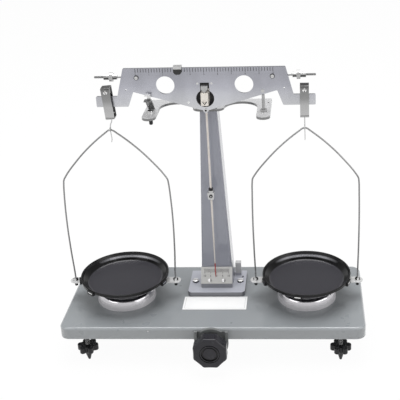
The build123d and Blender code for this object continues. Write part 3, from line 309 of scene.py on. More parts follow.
def panEnamel():
    # Black enamel in rubbed patches, greyer on the floor as painted reflection, with a painted highlight
    # crescent over a painted shadow at the back
    look = panLook
    paint = Finish("pan_enamel", Specular_IOR_Level=0.3, Coat_Weight=0.12, Coat_Roughness=0.12)
    low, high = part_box("left_pan")
    peel = paint.noise(0.0011, 2)
    rubbed = paint.patches(0.018, 6, 0.55, 0.75, paint.stretched(1, 0.35, 1))
    up = paint.share("Z", low.z, high.z)
    floor = paint.ramp(up, *look["floorZone"])
    back = paint.ramp(paint.share("Y", low.y, high.y), *look["backZone"])
    crescent = paint.ramp(up, *look["crescentZone"]) * back
    shadow = paint.ramp(up, *look["shadowZone"]) * back
    wallTone = paint.blend(rubbed * look["wallRubbed"], *look["wall"])
    floorTone = paint.blend(rubbed * look["floorRubbed"], *look["floor"])
    # Painted reflection: the floor is a lighter copy of the wall's enamel
    tone = paint.blend(floor, wallTone, floorTone)
    # Painted highlight: the bright crescent low on the back wall
    tone = paint.blend(crescent * look["paintedSheen"], tone, look["highlight"])
    dust = (paint.noise(0.0007, 1) > look["dustFrom"]) * look["dusty"]
    paintedSheen = crescent * look["crescentMetal"] + shadow * look["shadowMetal"]
    paint.set(
        Base_Color=paint.blend(shadow, paint.blend(dust, tone, look["dust"]), look["dark"]),
        Metallic=paintedSheen + (1 - floor) * look["wallMetal"],
        Roughness=rubbed * 0.08 + peel * 0.06 + 0.26,
        Normal=paint.bump(peel, look["peelDepth"], 0.12),
    )
    return paint.material


mouldedLook = {
    "tint": (1, 0.98, 1.12), "wornTint": (1, 0.98, 1.08), "wornLift": 16, "worn": 0.4,
    "groove": shade(4), "grooveShaded": 0.9, "grainDepth": 0.00006,
}


def mouldedBlack(name, level, grooves=()):
    # Moulded plastic, with painted shade in the grooves round the lifting knob's axis
    look = mouldedLook
    plastic = Finish(name, Specular_IOR_Level=0.34)
    grain = plastic.noise(0.0008, 3)
    worn = plastic.patches(0.009, 5, 0.5, 0.8)
    tones = shade(level, look["tint"]), shade(level + look["wornLift"], look["wornTint"])
    tone = plastic.blend(worn * look["worn"], *tones)
    if grooves:
        away = plastic.distance(middleOf("brake_knob"))
        # Painted shade in each groove
        for inner, outer in grooves:
            tone = plastic.blend(away.within(inner, outer) * look["grooveShaded"], tone, look["groove"])
    plastic.set(
        Base_Color=tone,
        Roughness=grain * 0.1 + worn * 0.1 + 0.16,
        Normal=plastic.bump(grain, look["grainDepth"], 0.2),
    )
    return plastic.material


riderLook = {"legs": shade(30), "sheet": shade(196), "split": 0.66, "ragged": 0.0006}


def riderPaint():
    # Bright sheet over the beam's edge, black on the legs
    look = riderLook
    paint = Finish("rider_finish")
    low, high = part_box("rider")
    split = low.z + (high.z - low.z) * look["split"]
    metal = (paint.along("Z") + (paint.noise(0.002, 2) - 0.5) * look["ragged"]) > split
    paint.set(
        Base_Color=paint.blend(metal, look["legs"], look["sheet"]),
        Metallic=metal * 0.9,
        Roughness=paint.noise(0.002).spread(0.28, 0.48),
    )
    return paint.material


labelLook = {
    "white": shade(240, (0.995, 0.998, 1.0)), "stain": shade(226, (1, 0.995, 0.985)), "stained": 0.4,
    "line": shade(150), "printed": 0.7, "inset": 0.0022, "lineWidth": 0.0004,
}


def labelWhite():
    # Blank plate with a thin printed frame
    look = labelLook
    plate = Finish("label_white", Coat_Weight=0.3, Coat_Roughness=0.2)
    low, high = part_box("label_plate")
    middle = (low + high) / 2
    half = (high - low) / 2
    across = abs(plate.along("X") - middle.x)
    deep = abs(plate.along("Y") - middle.y)
    panels = []
    for inset in (look["inset"], look["inset"] + look["lineWidth"]):
        panels.append((across < half.x - inset) * (deep < half.y - inset))
    stain = plate.noise(0.012, 4)
    tone = plate.blend(stain * look["stained"], look["white"], look["stain"])
    plate.set(
        Base_Color=plate.blend((panels[0] - panels[1]) * look["printed"], tone, look["line"]),
        Roughness=stain.spread(0.34, 0.49),
    )
    return plate.material


def grained(name, grain, tones, roughness, depth=0, strength=0, drawnOut=1, **sockets):
    # Plain finish whose one grain gives colour, roughness and relief
    finish = Finish(name, **sockets)
    grains = finish.noise(grain, 4, finish.stretched(drawnOut, 1, 1))
    finish.set(Base_Color=finish.blend(grains, *tones), Roughness=grains.spread(*roughness))
    if depth:
        finish.set(Normal=finish.bump(grains, depth, strength))
    return finish.material


grainedLooks = {
    "rubber": {
        "name": "black_rubber", "grain": 0.0015, "tones": (shade(30), shade(44)),
        "roughness": (0.62, 0.77), "depth": 0.0002, "strength": 0.4, "Specular_IOR_Level": 0.3,
    },
    "red": {
        "name": "red_tip", "grain": 0.0018,
        "tones": (shade(138, (1, 0.26, 0.25)), shade(164, (1, 0.34, 0.32))),
        "roughness": (0.35, 0.55), "depth": 0.0001, "strength": 0.3,
        "Coat_Weight": 0.2, "Coat_Roughness": 0.2,
    },
    "cream": {
        "name": "dull_cream", "grain": 0.006,
        "tones": (shade(222, (1, 0.975, 0.95)), shade(196, (1, 0.96, 0.925))),
        "roughness": (0.32, 0.52), "depth": 0.00005, "strength": 0.2, "Metallic": 0.35,
    },
    "scale": {
        "name": "scale_metal", "grain": 0.0009, "drawnOut": 0.05,
        "tones": (shade(174, (1, 0.997, 0.985)), shade(194, (1, 0.997, 0.99))),
        "roughness": (0.34, 0.5), "depth": 0.00003, "strength": 0.2, "Metallic": 0.6,
    },
    "ink": {
        "name": "black_ink", "grain": 0.0011, "tones": (shade(26), shade(52)),
        "roughness": (0.5, 0.7), "Specular_IOR_Level": 0.3,
    },
    "greyInk": {
        "name": "grey_ink", "grain": 0.0011, "tones": (shade(46), shade(72)),
        "roughness": (0.5, 0.7), "Specular_IOR_Level": 0.3,
    },
}


# Metals

coolTint = (0.978, 0.982, 1.028)
nickelLook = {
    "bright": (shade(190, coolTint), shade(198, coolTint)), "slant": 0.6,
    "patch": shade(156, coolTint), "patched": 0.55, "upper": shade(152, coolTint), "topShaded": 0.62,
    "lower": shade(210, (0.995, 1, 1)), "litShare": 0.6, "smudge": shade(158, coolTint), "smudged": 0.3,
    "lineDepth": 0.00001,
}


def satinNickel():
    # Rolled sheet, rubbed along the beam; darker patches lie slantwise, painted shade darkens its top
    # and painted light makes its lower half paler
    look = nickelLook
    metal = Finish("satin_nickel", Metallic=0.92)
    lines = metal.noise(0.0016, 4, metal.stretched(0.03, 1, 1))
    haze = metal.noise(0.035, 3)
    patch = metal.patches(0.045, 2, 0.42, 0.58, metal.stretched(1, 1, 0.3, look["slant"]))
    height = metal.share("Z", beamLow.z, beamHigh.z)
    upper = metal.ramp(height, (0.4, 0), (0.85, 1))
    lower = metal.ramp(height, (0.15, 1), (0.6, 0))
    tone = metal.blend(lines, *look["bright"])
    tone = metal.blend(patch * look["patched"], tone, look["patch"])
    # Painted shade toward the top, then painted light on the lower half
    tone = metal.blend(upper * look["topShaded"], tone, look["upper"])
    tone = metal.blend(lower * look["litShare"], tone, look["lower"])
    smudge = metal.patches(0.02, 5, 0.5, 0.8) * look["smudged"]
    metal.set(
        Base_Color=metal.blend(smudge, tone, look["smudge"]),
        Roughness=lines * 0.06 + haze * 0.1 + 0.17,
        Normal=metal.bump(lines, look["lineDepth"], 0.1),
    )
    return metal.material


stirrupLook = {
    # Share of the strap's height, and its display grey there, painted as reflection and shade
    "tones": ((0.03, 200), (0.06, 104), (0.09, 188), (0.4, 178), (0.6, 140), (0.9, 122), (0.97, 66)),
    "uneven": 0.03, "cloud": shade(170), "clouded": 0.3, "plugUp": 0.42,
    "boss": shade(240), "bossRadius": 0.0023, "front": 0.002,
}


def bearingPlug(side):
    # Middle of the pale plug in the stirrup's window
    low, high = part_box(f"{side}_stirrup_bearing")
    return Vector(((low.x + high.x) / 2, 0, low.z + (high.z - low.z) * stirrupLook["plugUp"]))


def strapSheet(side):
    # Polished strap, darker in its upper half and where the hook goes in as painted reflection and
    # shade, bright round its window
    look = stirrupLook
    metal = Finish(f"{side}_strap_sheet")
    low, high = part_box(f"{side}_stirrup")
    near = metal.distance(bearingPlug(side)) < look["bossRadius"]
    boss = near * (metal.along("Y") < low.y + look["front"])
    cloud = metal.noise(0.004, 4)
    up = metal.share("Z", low.z, high.z) + (cloud - 0.5) * look["uneven"]
    # Painted reflection and shade: the grey follows the strap's height
    tone = metal.ramp(up, *[(height, shade(level)[0]) for height, level in look["tones"]])
    tone = metal.blend(cloud * look["clouded"], tone, look["cloud"])
    metal.set(
        Base_Color=metal.blend(boss, tone, look["boss"]),
        Metallic=1 - boss * 0.5,
        Roughness=metal.noise(0.0015, 3).spread(0.12, 0.24),
        Normal=metal.bump(cloud, 0.00006, 0.2),
    )
    return metal.material


seatLook = {
    "stone": (shade(52), shade(30)), "plug": (shade(246), shade(226, (1, 0.99, 0.97))),
    "plugRadius": 0.00125,
}


def seatStone(side):
    # Dark stone of the stirrup's bearing, with a pale plug behind the window
    look = seatLook
    stone = Finish(f"{side}_seat_stone", Coat_Weight=0.6, Coat_Roughness=0.05)
    away = stone.distance(bearingPlug(side))
    vein = stone.noise(0.003, 6)
    body = stone.blend(vein, *look["stone"])
    plug = stone.blend(vein, *look["plug"])
    stone.set(
        Base_Color=stone.blend(away < look["plugRadius"], body, plug),
        Roughness=vein.spread(0.12, 0.22),
    )
    return stone.material


grooveLook = {
    "stone": (shade(236, (1, 0.985, 0.955)), shade(206, (1, 0.96, 0.91))), "line": shade(30),
    "low": 0.0016, "high": 0.0052, "slope": 0.75, "half": 0.00055, "front": 0.002,
}


def grooveStone():
    # Pale block with a line of painted shade along its V groove on its front
    look = grooveLook
    stone = Finish("groove_stone", Coat_Weight=0.5, Coat_Roughness=0.05)
    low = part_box("bearing_block")[0]
    up = stone.along("Z") - (low.z + look["low"])
    off = abs(abs(stone.along("X")) - up * look["slope"])
    onFront = stone.along("Y") < low.y + look["front"]
    # Painted shade along the V groove
    line = (off < look["half"]) * (up < look["high"] - look["low"]) * onFront
    vein = stone.noise(0.003, 6)
    tone = stone.blend(vein, *look["stone"])
    stone.set(Base_Color=stone.blend(line, tone, look["line"]), Roughness=vein.spread(0.14, 0.24))
    return stone.material


screwLook = {
    "bright": shade(202), "dark": shade(24), "dome": (shade(248), shade(226)), "hazed": 0.4,
    "foot": shade(36), "side": 0.8, "sideWidth": 0.003,
}


def screwHead(name, node, dark, rim=None):
    # Bright metal with a dark middle or ring about an axis along Y, and rims of painted shade round a
    # pair
    look = screwLook
    metal = Finish(name)
    middle = Vector(dark["place"]) if "place" in dark else middleOf(node)
    ring = metal.distance(middle).within(dark["inner"], dark["outer"])
    # Painted shade in rims round the pair's heads
    if rim:
        apart = (abs(metal.along("X")) - rim["x"]).fromAxis(metal.along("Z") - rim["z"])
        ring = ring + apart.within(rim["inner"], rim["outer"])
    haze = metal.noise(0.003, 4)
    metal.set(
        Base_Color=metal.blend(ring, look["bright"], look["dark"]),
        Metallic=1 - ring * 0.7,
        Roughness=haze * 0.1 + ring * 0.2 + 0.12,
    )
    return metal.material


def domedScrew(name, away, foot, shadedFrom=()):
    # Bright dome with painted shade at its foot, measured along the way that it faces, and painted shade
    # on one side
    look = screwLook
    metal = Finish(name)
    dome = (metal.along("Y") * away.y + metal.along("Z") * away.z) > foot
    # Painted shade on one side of each dome
    for start in shadedFrom:
        across = metal.along("X").within(start, start + look["sideWidth"])
        dome = dome * (1 - across * look["side"])
    haze = metal.noise(0.003, 4)
    bright = metal.blend(haze * look["hazed"], *look["dome"])
    metal.set(
        Base_Color=metal.blend(dome, look["foot"], bright),
        Metallic=dome * 0.4,
        Roughness=haze.spread(0.16, 0.28),
    )
    return metal.material


lugLook = {
    "bright": (shade(244), shade(200)), "dark": shade(26), "nutAcross": 0.0055, "brightHalf": 0.0014,
}


def lugMetal(side):
    # Upper nuts bright in the middle and black at their sides above the carrier's strap, as painted
    # reflection; the cap nuts below it are black
    look = lugLook
    metal = Finish(f"{side}_lug_metal", Metallic=0.5)
    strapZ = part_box(f"{side}_pan_carrier")[0].z
    low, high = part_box(f"{side}_lug_nuts")
    reach = (high.x - low.x - look["nutAcross"]) / 2
    off = abs(abs(metal.along("X") - (low.x + high.x) / 2) - reach)
    # Painted reflection on the upper nuts: bright only near the middle of each
    lit = (metal.along("Z") > strapZ) * (off < look["brightHalf"])
    haze = metal.noise(0.002, 3)
    metal.set(
        Base_Color=metal.blend(lit, look["dark"], metal.blend(haze, *look["bright"])),
        Roughness=haze.spread(0.14, 0.28),
    )
    return metal.material


chromeLook = {"hazed": 0.4, "hazeDrop": 22, "worn": 0.08}


def brightChrome(name, level, roughness):
    # Chrome with a faint haze and fine scratches
    look = chromeLook
    metal = Finish(name, Metallic=1.0)
    haze = metal.noise(0.012, 4)
    scratch = metal.patches(0.004, 5, 0.6, 0.63, metal.stretched(1, 0.08, 1))
    metal.set(
        Base_Color=metal.blend(haze * look["hazed"], shade(level), shade(level - look["hazeDrop"])),
        Roughness=haze * look["worn"] + scratch * look["worn"] + roughness,
    )
    return metal.material


hubLook = {
    "bright": shade(214), "darkBand": shade(46), "darkReflection": 0.9,
    "zone": ((0.22, 0), (0.3, 1), (0.56, 1), (0.66, 0)),
}


def shadedHub():
    # Bright hub of a balance nut, with a painted dark reflection in a band along its front
    look = hubLook
    metal = Finish("nut_hub_steel", Metallic=1.0)
    low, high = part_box("left_nut_hub")
    # Painted reflection: a dark band along the hub's front
    darkReflection = metal.ramp(metal.share("Z", low.z, high.z), *look["zone"])
    haze = metal.noise(0.002, 3)
    metal.set(
        Base_Color=metal.blend(darkReflection * look["darkReflection"], look["bright"], look["darkBand"]),
        Roughness=haze * 0.1 + darkReflection * 0.1 + 0.1,
    )
    return metal.material


drumLook = {
    "tones": (shade(208, (1, 0.992, 1.01)), shade(192, (1, 0.988, 1.0))), "hazed": 0.3, "paintedFootLight": 0.85,
}


def drumChrome():
    # Chromed cap, less metallic and rougher towards its foot, where it reads paler as painted reflection
    look = drumLook
    metal = Finish("drum_chrome")
    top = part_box("pan_rests")[1].z
    # Painted reflection: worn here is the share of the foot made diffuse and paler
    worn = metal.ramp(metal.share("Z", top, baseHigh.z), (0.1, 0), (0.6, 1))
    haze = metal.noise(0.012, 4)
    metal.set(
        Base_Color=metal.blend(haze * look["hazed"], *look["tones"]),
        Metallic=1 - worn * look["paintedFootLight"],
        Roughness=haze * 0.04 + worn * 0.2 + 0.08,
    )
    return metal.material


strapLook = {"plating": (shade(226), shade(212)), "darkBand": shade(60), "banded": 0.85, "lineDepth": 0.00002}


def strapMetal(name, bandFrom=None, bandTo=None):
    # Pale satin plating, which may be darker between two heights
    look = strapLook
    metal = Finish(name, Coat_Weight=0.5, Coat_Roughness=0.08)
    lines = metal.noise(0.0012, 3, metal.stretched(0.1, 1, 1))
    tone = metal.blend(lines, *look["plating"])
    if bandFrom:
        tone = metal.blend(metal.along("Z").within(bandFrom, bandTo) * look["banded"], tone, look["darkBand"])
    metal.set(
        Base_Color=tone,
        Metallic=lines.spread(0.3, 0.4),
        Roughness=lines.spread(0.16, 0.3),
        Normal=metal.bump(lines, look["lineDepth"], 0.15),
    )
    return metal.material


steelLook = {
    "tarnished": 0.5, "tarnishLevel": 0.72, "turningDepth": 0.00003,
    "threadTarnished": 0.4, "threadTarnish": 0.75, "crestLevel": 0.45, "crest": 0.45,
}


def turnedSteel(name, level, roughness):
    look = steelLook
    metal = Finish(name, Metallic=0.95)
    turning = metal.noise(0.0006, 3, metal.stretched(1, 1, 2.5))
    tarnish = metal.patches(0.007, 5, 0.45, 0.8)
    tones = shade(level), shade(level * look["tarnishLevel"])
    metal.set(
        Base_Color=metal.blend(tarnish * look["tarnished"], *tones),
        Roughness=turning * 0.18 + tarnish * 0.12 + roughness,
        Normal=metal.bump(turning, look["turningDepth"], 0.3),
    )
    return metal.material


def threadedSteel(name, level, axis, pitch, start):
    # Fine thread round a rod along one axis, where the rod is further out than start, with painted shade
    # in its grooves
    look = steelLook
    metal = Finish(name, Metallic=0.95)
    place = metal.along(axis)
    wave = (place * (2 * math.pi / pitch)).sine()
    crest = wave.spread(0.5, 1) * (abs(place) > start)
    tarnish = metal.patches(0.006, 5, 0.45, 0.8)
    tones = shade(level), shade(level * look["threadTarnish"])
    tone = metal.blend(tarnish * look["threadTarnished"], *tones)
    metal.set(
        # Painted shade where the thread's grooves lie
        Base_Color=metal.blend(crest * look["crest"], tone, shade(level * look["crestLevel"])),
        Roughness=tarnish.spread(0.24, 0.39),
        Normal=metal.bump(crest, pitch * -0.5, 0.9),
    )
    return metal.material


finishes = {
    "base": baseEnamel(),
    "cast": castEnamel("casting_enamel", level=132, coat=0.4, gloss=0.14),
    "column": castEnamel("column_enamel", level=136, coat=1.0, gloss=0.04, tint=(0.97, 0.985, 1.06)),
    # The flange's sides and the arm's sides carry painted shade, and the post on the flange painted
    # light
    "flange": castEnamel(
        "flange_enamel", level=172, coat=0.7, gloss=0.08,
        shadedBelow=marks["flangeEdge"], litAbove=marks["postFoot"],
    ),
    # A darker copy of the casting enamel, as painted shade under the base
    "housing": castEnamel("housing_shaded_enamel", level=108, coat=0.4, gloss=0.14, tint=(0.98, 1.0, 1.0)),
    "arm": castEnamel(
        "arm_enamel", level=176, coat=0.7, gloss=0.08, tint=(1, 1, 1.005), shadedBelow=marks["armEdge"],
    ),
    "pan": panEnamel(),
    "black": mouldedBlack("moulded_black", level=22),
    "knob": mouldedBlack("knob_black", level=34, grooves=((0.0079, 0.0103), (0.0113, 0.0125))),
    "rider": riderPaint(),
    "label": labelWhite(),
    "nickel": satinNickel(),
    "chrome": brightChrome("bright_chrome", level=236, roughness=0.04),
    "wire": brightChrome("wire_chrome", level=146, roughness=0.12),
    "hook": brightChrome("hook_wire", level=206, roughness=0.2),
    "plated": brightChrome("plated_steel", level=196, roughness=0.16),
    "drum": drumChrome(),
    "paleStrap": strapMetal("pale_strap"),
    "restStrip": strapMetal("rest_strip", marks["bandFrom"], marks["bandTo"]),
    "steel": turnedSteel("turned_steel", level=178, roughness=0.3),
    "dark": turnedSteel("dark_steel", level=58, roughness=0.34),
    "hub": shadedHub(),
    "balanceThread": threadedSteel("balance_thread", level=160, axis="X", pitch=0.0008, start=0.103),
    "stemThread": threadedSteel("stem_thread", level=176, axis="Z", pitch=0.001, start=0.0),
    "groove": grooveStone(),
    "flangeScrew": domedScrew("flange_screw_heads", Vector((0, 0, 1)), marks["flangeDome"]),
    "scaleScrew": domedScrew(
        "scale_screw_heads", scaleOut, marks["scaleDome"], shadedFrom=(-0.0082, 0.0098),
    ),
    "weightScrew": screwHead("weight_screw_head", "weight_screw", {"inner": 0.0009, "outer": 0.0023}),
    "beamScrew": screwHead(
        "beam_screw_heads", "beam_screws", {"inner": 0.0, "outer": 0.0012, "place": (0, 0, 0.3084)},
        rim={"x": 0.0792, "z": 0.3493, "inner": 0.0021, "outer": 0.0032},
    ),
}
for key, look in grainedLooks.items():
    finishes[key] = grained(**look)


def both(piece):
    # The left and the right node of a piece
    return [f"{side}_{piece}" for side in sides]


nodeFinish = {
    "base": ["base_plate"], "cast": ["scale_block"], "column": ["column"], "flange": ["column_flange"],
    "housing": ["shaft_housing", "rear_shaft_bracket"], "arm": ["arrest_arm"], "label": ["label_plate"],
    "black": both("foot_knob"), "knob": ["brake_knob", "knob_cap"], "rubber": ["rear_foot"],
    "drum": ["pan_rests"], "nickel": ["beam"], "rider": ["rider"], "red": ["pointer_tip"],
    "cream": ["rod_bush", "pointer_rod"], "scale": ["pointer_scale"], "pan": both("pan"),
    "paleStrap": both("pan_carrier"), "restStrip": ["rest_fork"], "wire": both("hanger_bow"),
    "plated": ["rest_screw", "pointer_weight", "arrest_stud", "rest_post_nut", *both("nut_disc")],
    "steel": [
        "foot_inserts", "cam_shaft", "lift_cam", "rest_post", "lift_rod", "centre_knife", "end_knives",
    ],
    "dark": ["knife_holder", "bearing_bracket"], "groove": ["bearing_block"], "hub": both("nut_hub"),
    "balanceThread": ["balance_rods"], "stemThread": both("foot_stem"),
    "flangeScrew": ["column_screws"], "scaleScrew": ["scale_screws"],
    "weightScrew": ["weight_screw"], "beamScrew": ["beam_screws"],
}
for side in sides:
    # These finishes follow their own piece's box
    for piece, make in (("stirrup", strapSheet), ("stirrup_bearing", seatStone), ("lug_nuts", lugMetal)):
        node = f"{side}_{piece}"
        finishes[node] = make(side)
        nodeFinish[node] = [node]
print("finishes made,", len(finishes))

for finishName, members in nodeFinish.items():
    for member in members:
        slots = nodes[member].data.materials
        slots.clear()
        slots.append(finishes[finishName])
print("nodes dressed")


# New pieces as plain meshes on their bodies


def linked(name, data):
    # A new object in the scene
    thing = bpy.data.objects.new(name, data)
    bpy.context.scene.collection.objects.link(thing)
    return thing


def shapedMesh(holder):
    # The mesh that an object with a curve or a modifier comes to
    bpy.context.view_layer.update()
    return bpy.data.meshes.new_from_object(holder.evaluated_get(bpy.context.evaluated_depsgraph_get()))


def placeMesh(name, body, mesh, place, finishName):
    mesh.transform(place)
    mesh.materials.clear()
    mesh.materials.append(finishes[finishName])
    piece = linked(name, mesh)
    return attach(piece, body)


def settle(name, body, parts, place, finishName):
    # Ends a bmesh and puts it on its body
    mesh = bpy.data.meshes.new(name)
    parts.to_mesh(mesh)
    parts.free()
    return placeMesh(name, body, mesh, place, finishName)


# Geometry Nodes: rows of ticks

tickInputs = {
    "Count": "Int", "Pitch": "Float", "Width": "Float", "Length": "Float", "Long Length": "Float",
    "Every": "Int", "Depth": "Float",
}


def tickTree(finishName):
    # Upright ticks in a row along X, hung from a line, every few of them longer
    tree = bpy.data.node_groups.new("tick_row", "GeometryNodeTree")
    tree.interface.new_socket("Geometry", in_out="OUTPUT", socket_type="NodeSocketGeometry")
    sockets = {}
    for label, kind in tickInputs.items():
        socket = tree.interface.new_socket(label, in_out="INPUT", socket_type=f"NodeSocket{kind}")
        sockets[label] = socket.identifier
    given = addNode(tree, "NodeGroupInput").outputs
    step = addNode(tree, "ShaderNodeCombineXYZ", inputs={"X": given["Pitch"]})
    line = addNode(tree, "GeometryNodeMeshLine", inputs={"Count": given["Count"], "Offset": step})
    index = addNode(tree, "GeometryNodeInputIndex")
    rest = addNode(tree, "FunctionNodeIntegerMath", {"operation": "MODULO"}, [index, given["Every"]])
    same = {"data_type": "INT", "operation": "EQUAL"}
    isLong = addNode(tree, "FunctionNodeCompare", same, {2: rest, 3: 0})  # its whole numbers are 2 and 3
    lengths = {"Switch": isLong, "False": given["Length"], "True": given["Long Length"]}
    height = addNode(tree, "GeometryNodeSwitch", {"input_type": "FLOAT"}, lengths)
    sizes = {"X": given["Width"], "Y": given["Depth"], "Z": height}
    size = addNode(tree, "ShaderNodeCombineXYZ", inputs=sizes)
    drop = addNode(tree, "ShaderNodeMath", {"operation": "MULTIPLY"}, [height, -0.5])
    lower = addNode(tree, "ShaderNodeCombineXYZ", inputs={"Z": drop})
    hung = addNode(tree, "GeometryNodeSetPosition", inputs={"Geometry": line, "Offset": lower})
    cube = addNode(tree, "GeometryNodeMeshCube")
    placed = {"Points": hung, "Instance": cube, "Scale": size}
    copies = addNode(tree, "GeometryNodeInstanceOnPoints", inputs=placed)
    real = addNode(tree, "GeometryNodeRealizeInstances", inputs=[copies])
    inked = {"Geometry": real, "Material": finishes[finishName]}
    addNode(tree, "NodeGroupOutput", inputs=[addNode(tree, "GeometryNodeSetMaterial", inputs=inked)])
    return tree, sockets


def growTicks(name, body, marking, place, finishName):
    # Runs a row's tree once, and keeps its result as a plain mesh in its place
    values = {
        "Count": marking["divisions"] + 1, "Pitch": marking["span"] / marking["divisions"],
        "Width": marking["tickWidth"], "Length": marking["tickLength"],
        "Long Length": marking["longLength"], "Every": marking["perFigure"], "Depth": marking["depth"],
    }
    tree, sockets = tickTree(finishName)
    carrier = linked(name + "_layout", bpy.data.meshes.new(name + "_layout"))
    modifier = carrier.modifiers.new("layout", "NODES")
    modifier.node_group = tree
    for label, value in values.items():
        modifier[sockets[label]] = value
    mesh = shapedMesh(carrier)
    carrier.modifiers.remove(modifier)
    bpy.data.objects.remove(carrier)
    return placeMesh(name, body, mesh, place, finishName)


# Curves, figures and turned solids

def addCurve(parts, curve, offset=(0, 0, 0)):
    # Adds the faces of a curve or a text to a bmesh
    holder = linked(curve.name, curve)
    mesh = shapedMesh(holder)
    mesh.transform(Matrix.Translation(offset))
    parts.from_mesh(mesh)
    bpy.data.objects.remove(holder)


def addWire(parts, name, points):
    # Round wire through points (x, y, z, radius), bent smoothly
    curve = bpy.data.curves.new(name, "CURVE")
    curve.dimensions = "3D"
    curve.bevel_depth = 1
    curve.bevel_resolution = 5
    curve.resolution_u = 12
    curve.use_fill_caps = True
    spline = curve.splines.new("BEZIER")
    spline.bezier_points.add(len(points) - 1)
    for knot, (x, y, z, radius) in zip(spline.bezier_points, points):
        knot.co = (x, y, z)
        knot.radius = radius
        knot.handle_left_type = "AUTO"
        knot.handle_right_type = "AUTO"
    addCurve(parts, curve)


def turned(name, body, shape, place, finishName, steps=40):
    # Turned shape about Z; its profile has shares of the radius and of the height
    parts = bmesh.new()
    rings = []
    for wide, high in shape["profile"]:
        ring = []
        for step in range(steps):
            angle = 2 * math.pi * step / steps
            radius = shape["radius"] * wide
            spot = (radius * math.cos(angle), radius * math.sin(angle), shape["height"] * high)
            ring.append(parts.verts.new(spot))
        rings.append(ring)
    for lower, upper in zip(rings, rings[1:]):
        for step in range(steps):
            after = (step + 1) % steps
            face = parts.faces.new((lower[step], lower[after], upper[after], upper[step]))
            face.smooth = True
    parts.faces.new(rings[-1])
    parts.faces.new(list(reversed(rings[0])))
    return settle(name, body, parts, place, finishName)


def writing(name, body, words, marking, place, finishName):
    # Figures as thin raised print; words are (text, x) on the place's own plane
    parts = bmesh.new()
    for text, x in words:
        curve = bpy.data.curves.new(name, "FONT")
        curve.body = text
        curve.size = marking["figureHeight"]
        curve.extrude = marking["depth"] / 2
        curve.align_x = "CENTER"
        curve.align_y = "CENTER"
        curve.resolution_u = 3
        addCurve(parts, curve, (x, 0, 0))
    return settle(name, body, parts, place, finishName)


def facing(origin, right, up):
    # Turns a flat thing in its own XY plane so that it faces along right x up
    away = right.cross(up)
    turn = Matrix((right, up, away)).transposed().to_4x4()
    return Matrix.Translation(origin) @ turn


# Graduations of the beam and of the pointer's scale

rightward = Vector((1, 0, 0))
beamPrint = {
    "span": 0.160, "divisions": 50, "perFigure": 5, "tickWidth": 0.00062, "tickLength": 0.0044,
    "longLength": 0.0054, "figureHeight": 0.0030, "figureDrop": 0.0078, "topMargin": 0.0004,
    "depth": 0.00006,
}


def beamGraduations():
    # Numbered from the left end
    marking = beamPrint
    count, every = marking["divisions"], marking["perFigure"]
    pitch = marking["span"] / count
    startX = -marking["span"] / 2
    origin = Vector((startX, beamLow.y, beamHigh.z - marking["topMargin"]))
    growTicks("beam_ticks", "beam", marking, Matrix.Translation(origin), "greyInk")
    figures = [(str(mark // every), startX + mark * pitch) for mark in range(0, count + 1, every)]
    line = Vector((0, beamLow.y, beamHigh.z - marking["figureDrop"]))
    place = facing(line, rightward, Vector((0, 0, 1)))
    writing("beam_figures", "beam", figures, marking, place, "greyInk")


scalePrint = {
    "span": 0.031, "divisions": 20, "perFigure": 5, "tickWidth": 0.00042, "tickLength": 0.0046,
    "longLength": 0.0060, "topMargin": 0.0024, "figureHeight": 0.0036, "figureDrop": 0.0116,
    "depth": 0.00006, "plateThickness": 0.0012,
}


def scaleGraduations():
    # Numbered from the middle, on the plate that leans back from the block's lower front edge
    marking = scalePrint
    up = Vector((0, math.sin(scaleTilt), math.cos(scaleTilt)))
    out = rightward.cross(up)
    lift = abs(out.z) * marking["plateThickness"]
    foot = Vector((0, scaleLow.y, scaleLow.z + lift))
    top = foot + up * ((scaleHigh.z - scaleLow.z - lift) / up.z)
    corner = top - up * marking["topMargin"] - rightward * marking["span"] / 2
    laidFlat = Matrix.Rotation(math.radians(-90), 4, "X")
    growTicks("scale_ticks", "stand", marking, facing(corner, rightward, up) @ laidFlat, "ink")
    half = marking["divisions"] // 2
    pitch = marking["span"] / marking["divisions"]
    figures = [(str(abs(mark)), mark * pitch) for mark in range(-half, half + 1, marking["perFigure"])]
    place = facing(top - up * marking["figureDrop"], rightward, up)
    writing("scale_figures", "stand", figures, marking, place, "ink")


beamGraduations()
scaleGraduations()
print("graduations made")


# Hooks of the hangers, bent from one wire each, with a riveted head

hookShape = {
    "radius": 0.0007, "gap": 0.0003, "bowRadius": 0.001, "straight": 0.0048, "kneeRise": 0.0046,
    "kneeShare": 0.9, "tipRise": 0.0034, "tipOut": 0.0005, "tipTaper": 0.85,
    "tailRadius": 0.0006, "tailTaper": 0.8, "tailSway": {"left": 0.0005, "right": 0.0001},
    "tailBends": ((1.0, 0.62), (1.6, 0.28)),  # shares of the sway and of the tail's height
    "lean": {"left": 4.6, "right": 0.0},
}
hookHead = {
    "radius": 0.0021, "height": 0.0011,  # half its height, as the profile goes from -1 to 1
    "profile": ((0.8, -1), (1, -0.7), (1, 0.2), (0.85, 0.7), (0.4, 1)),
}


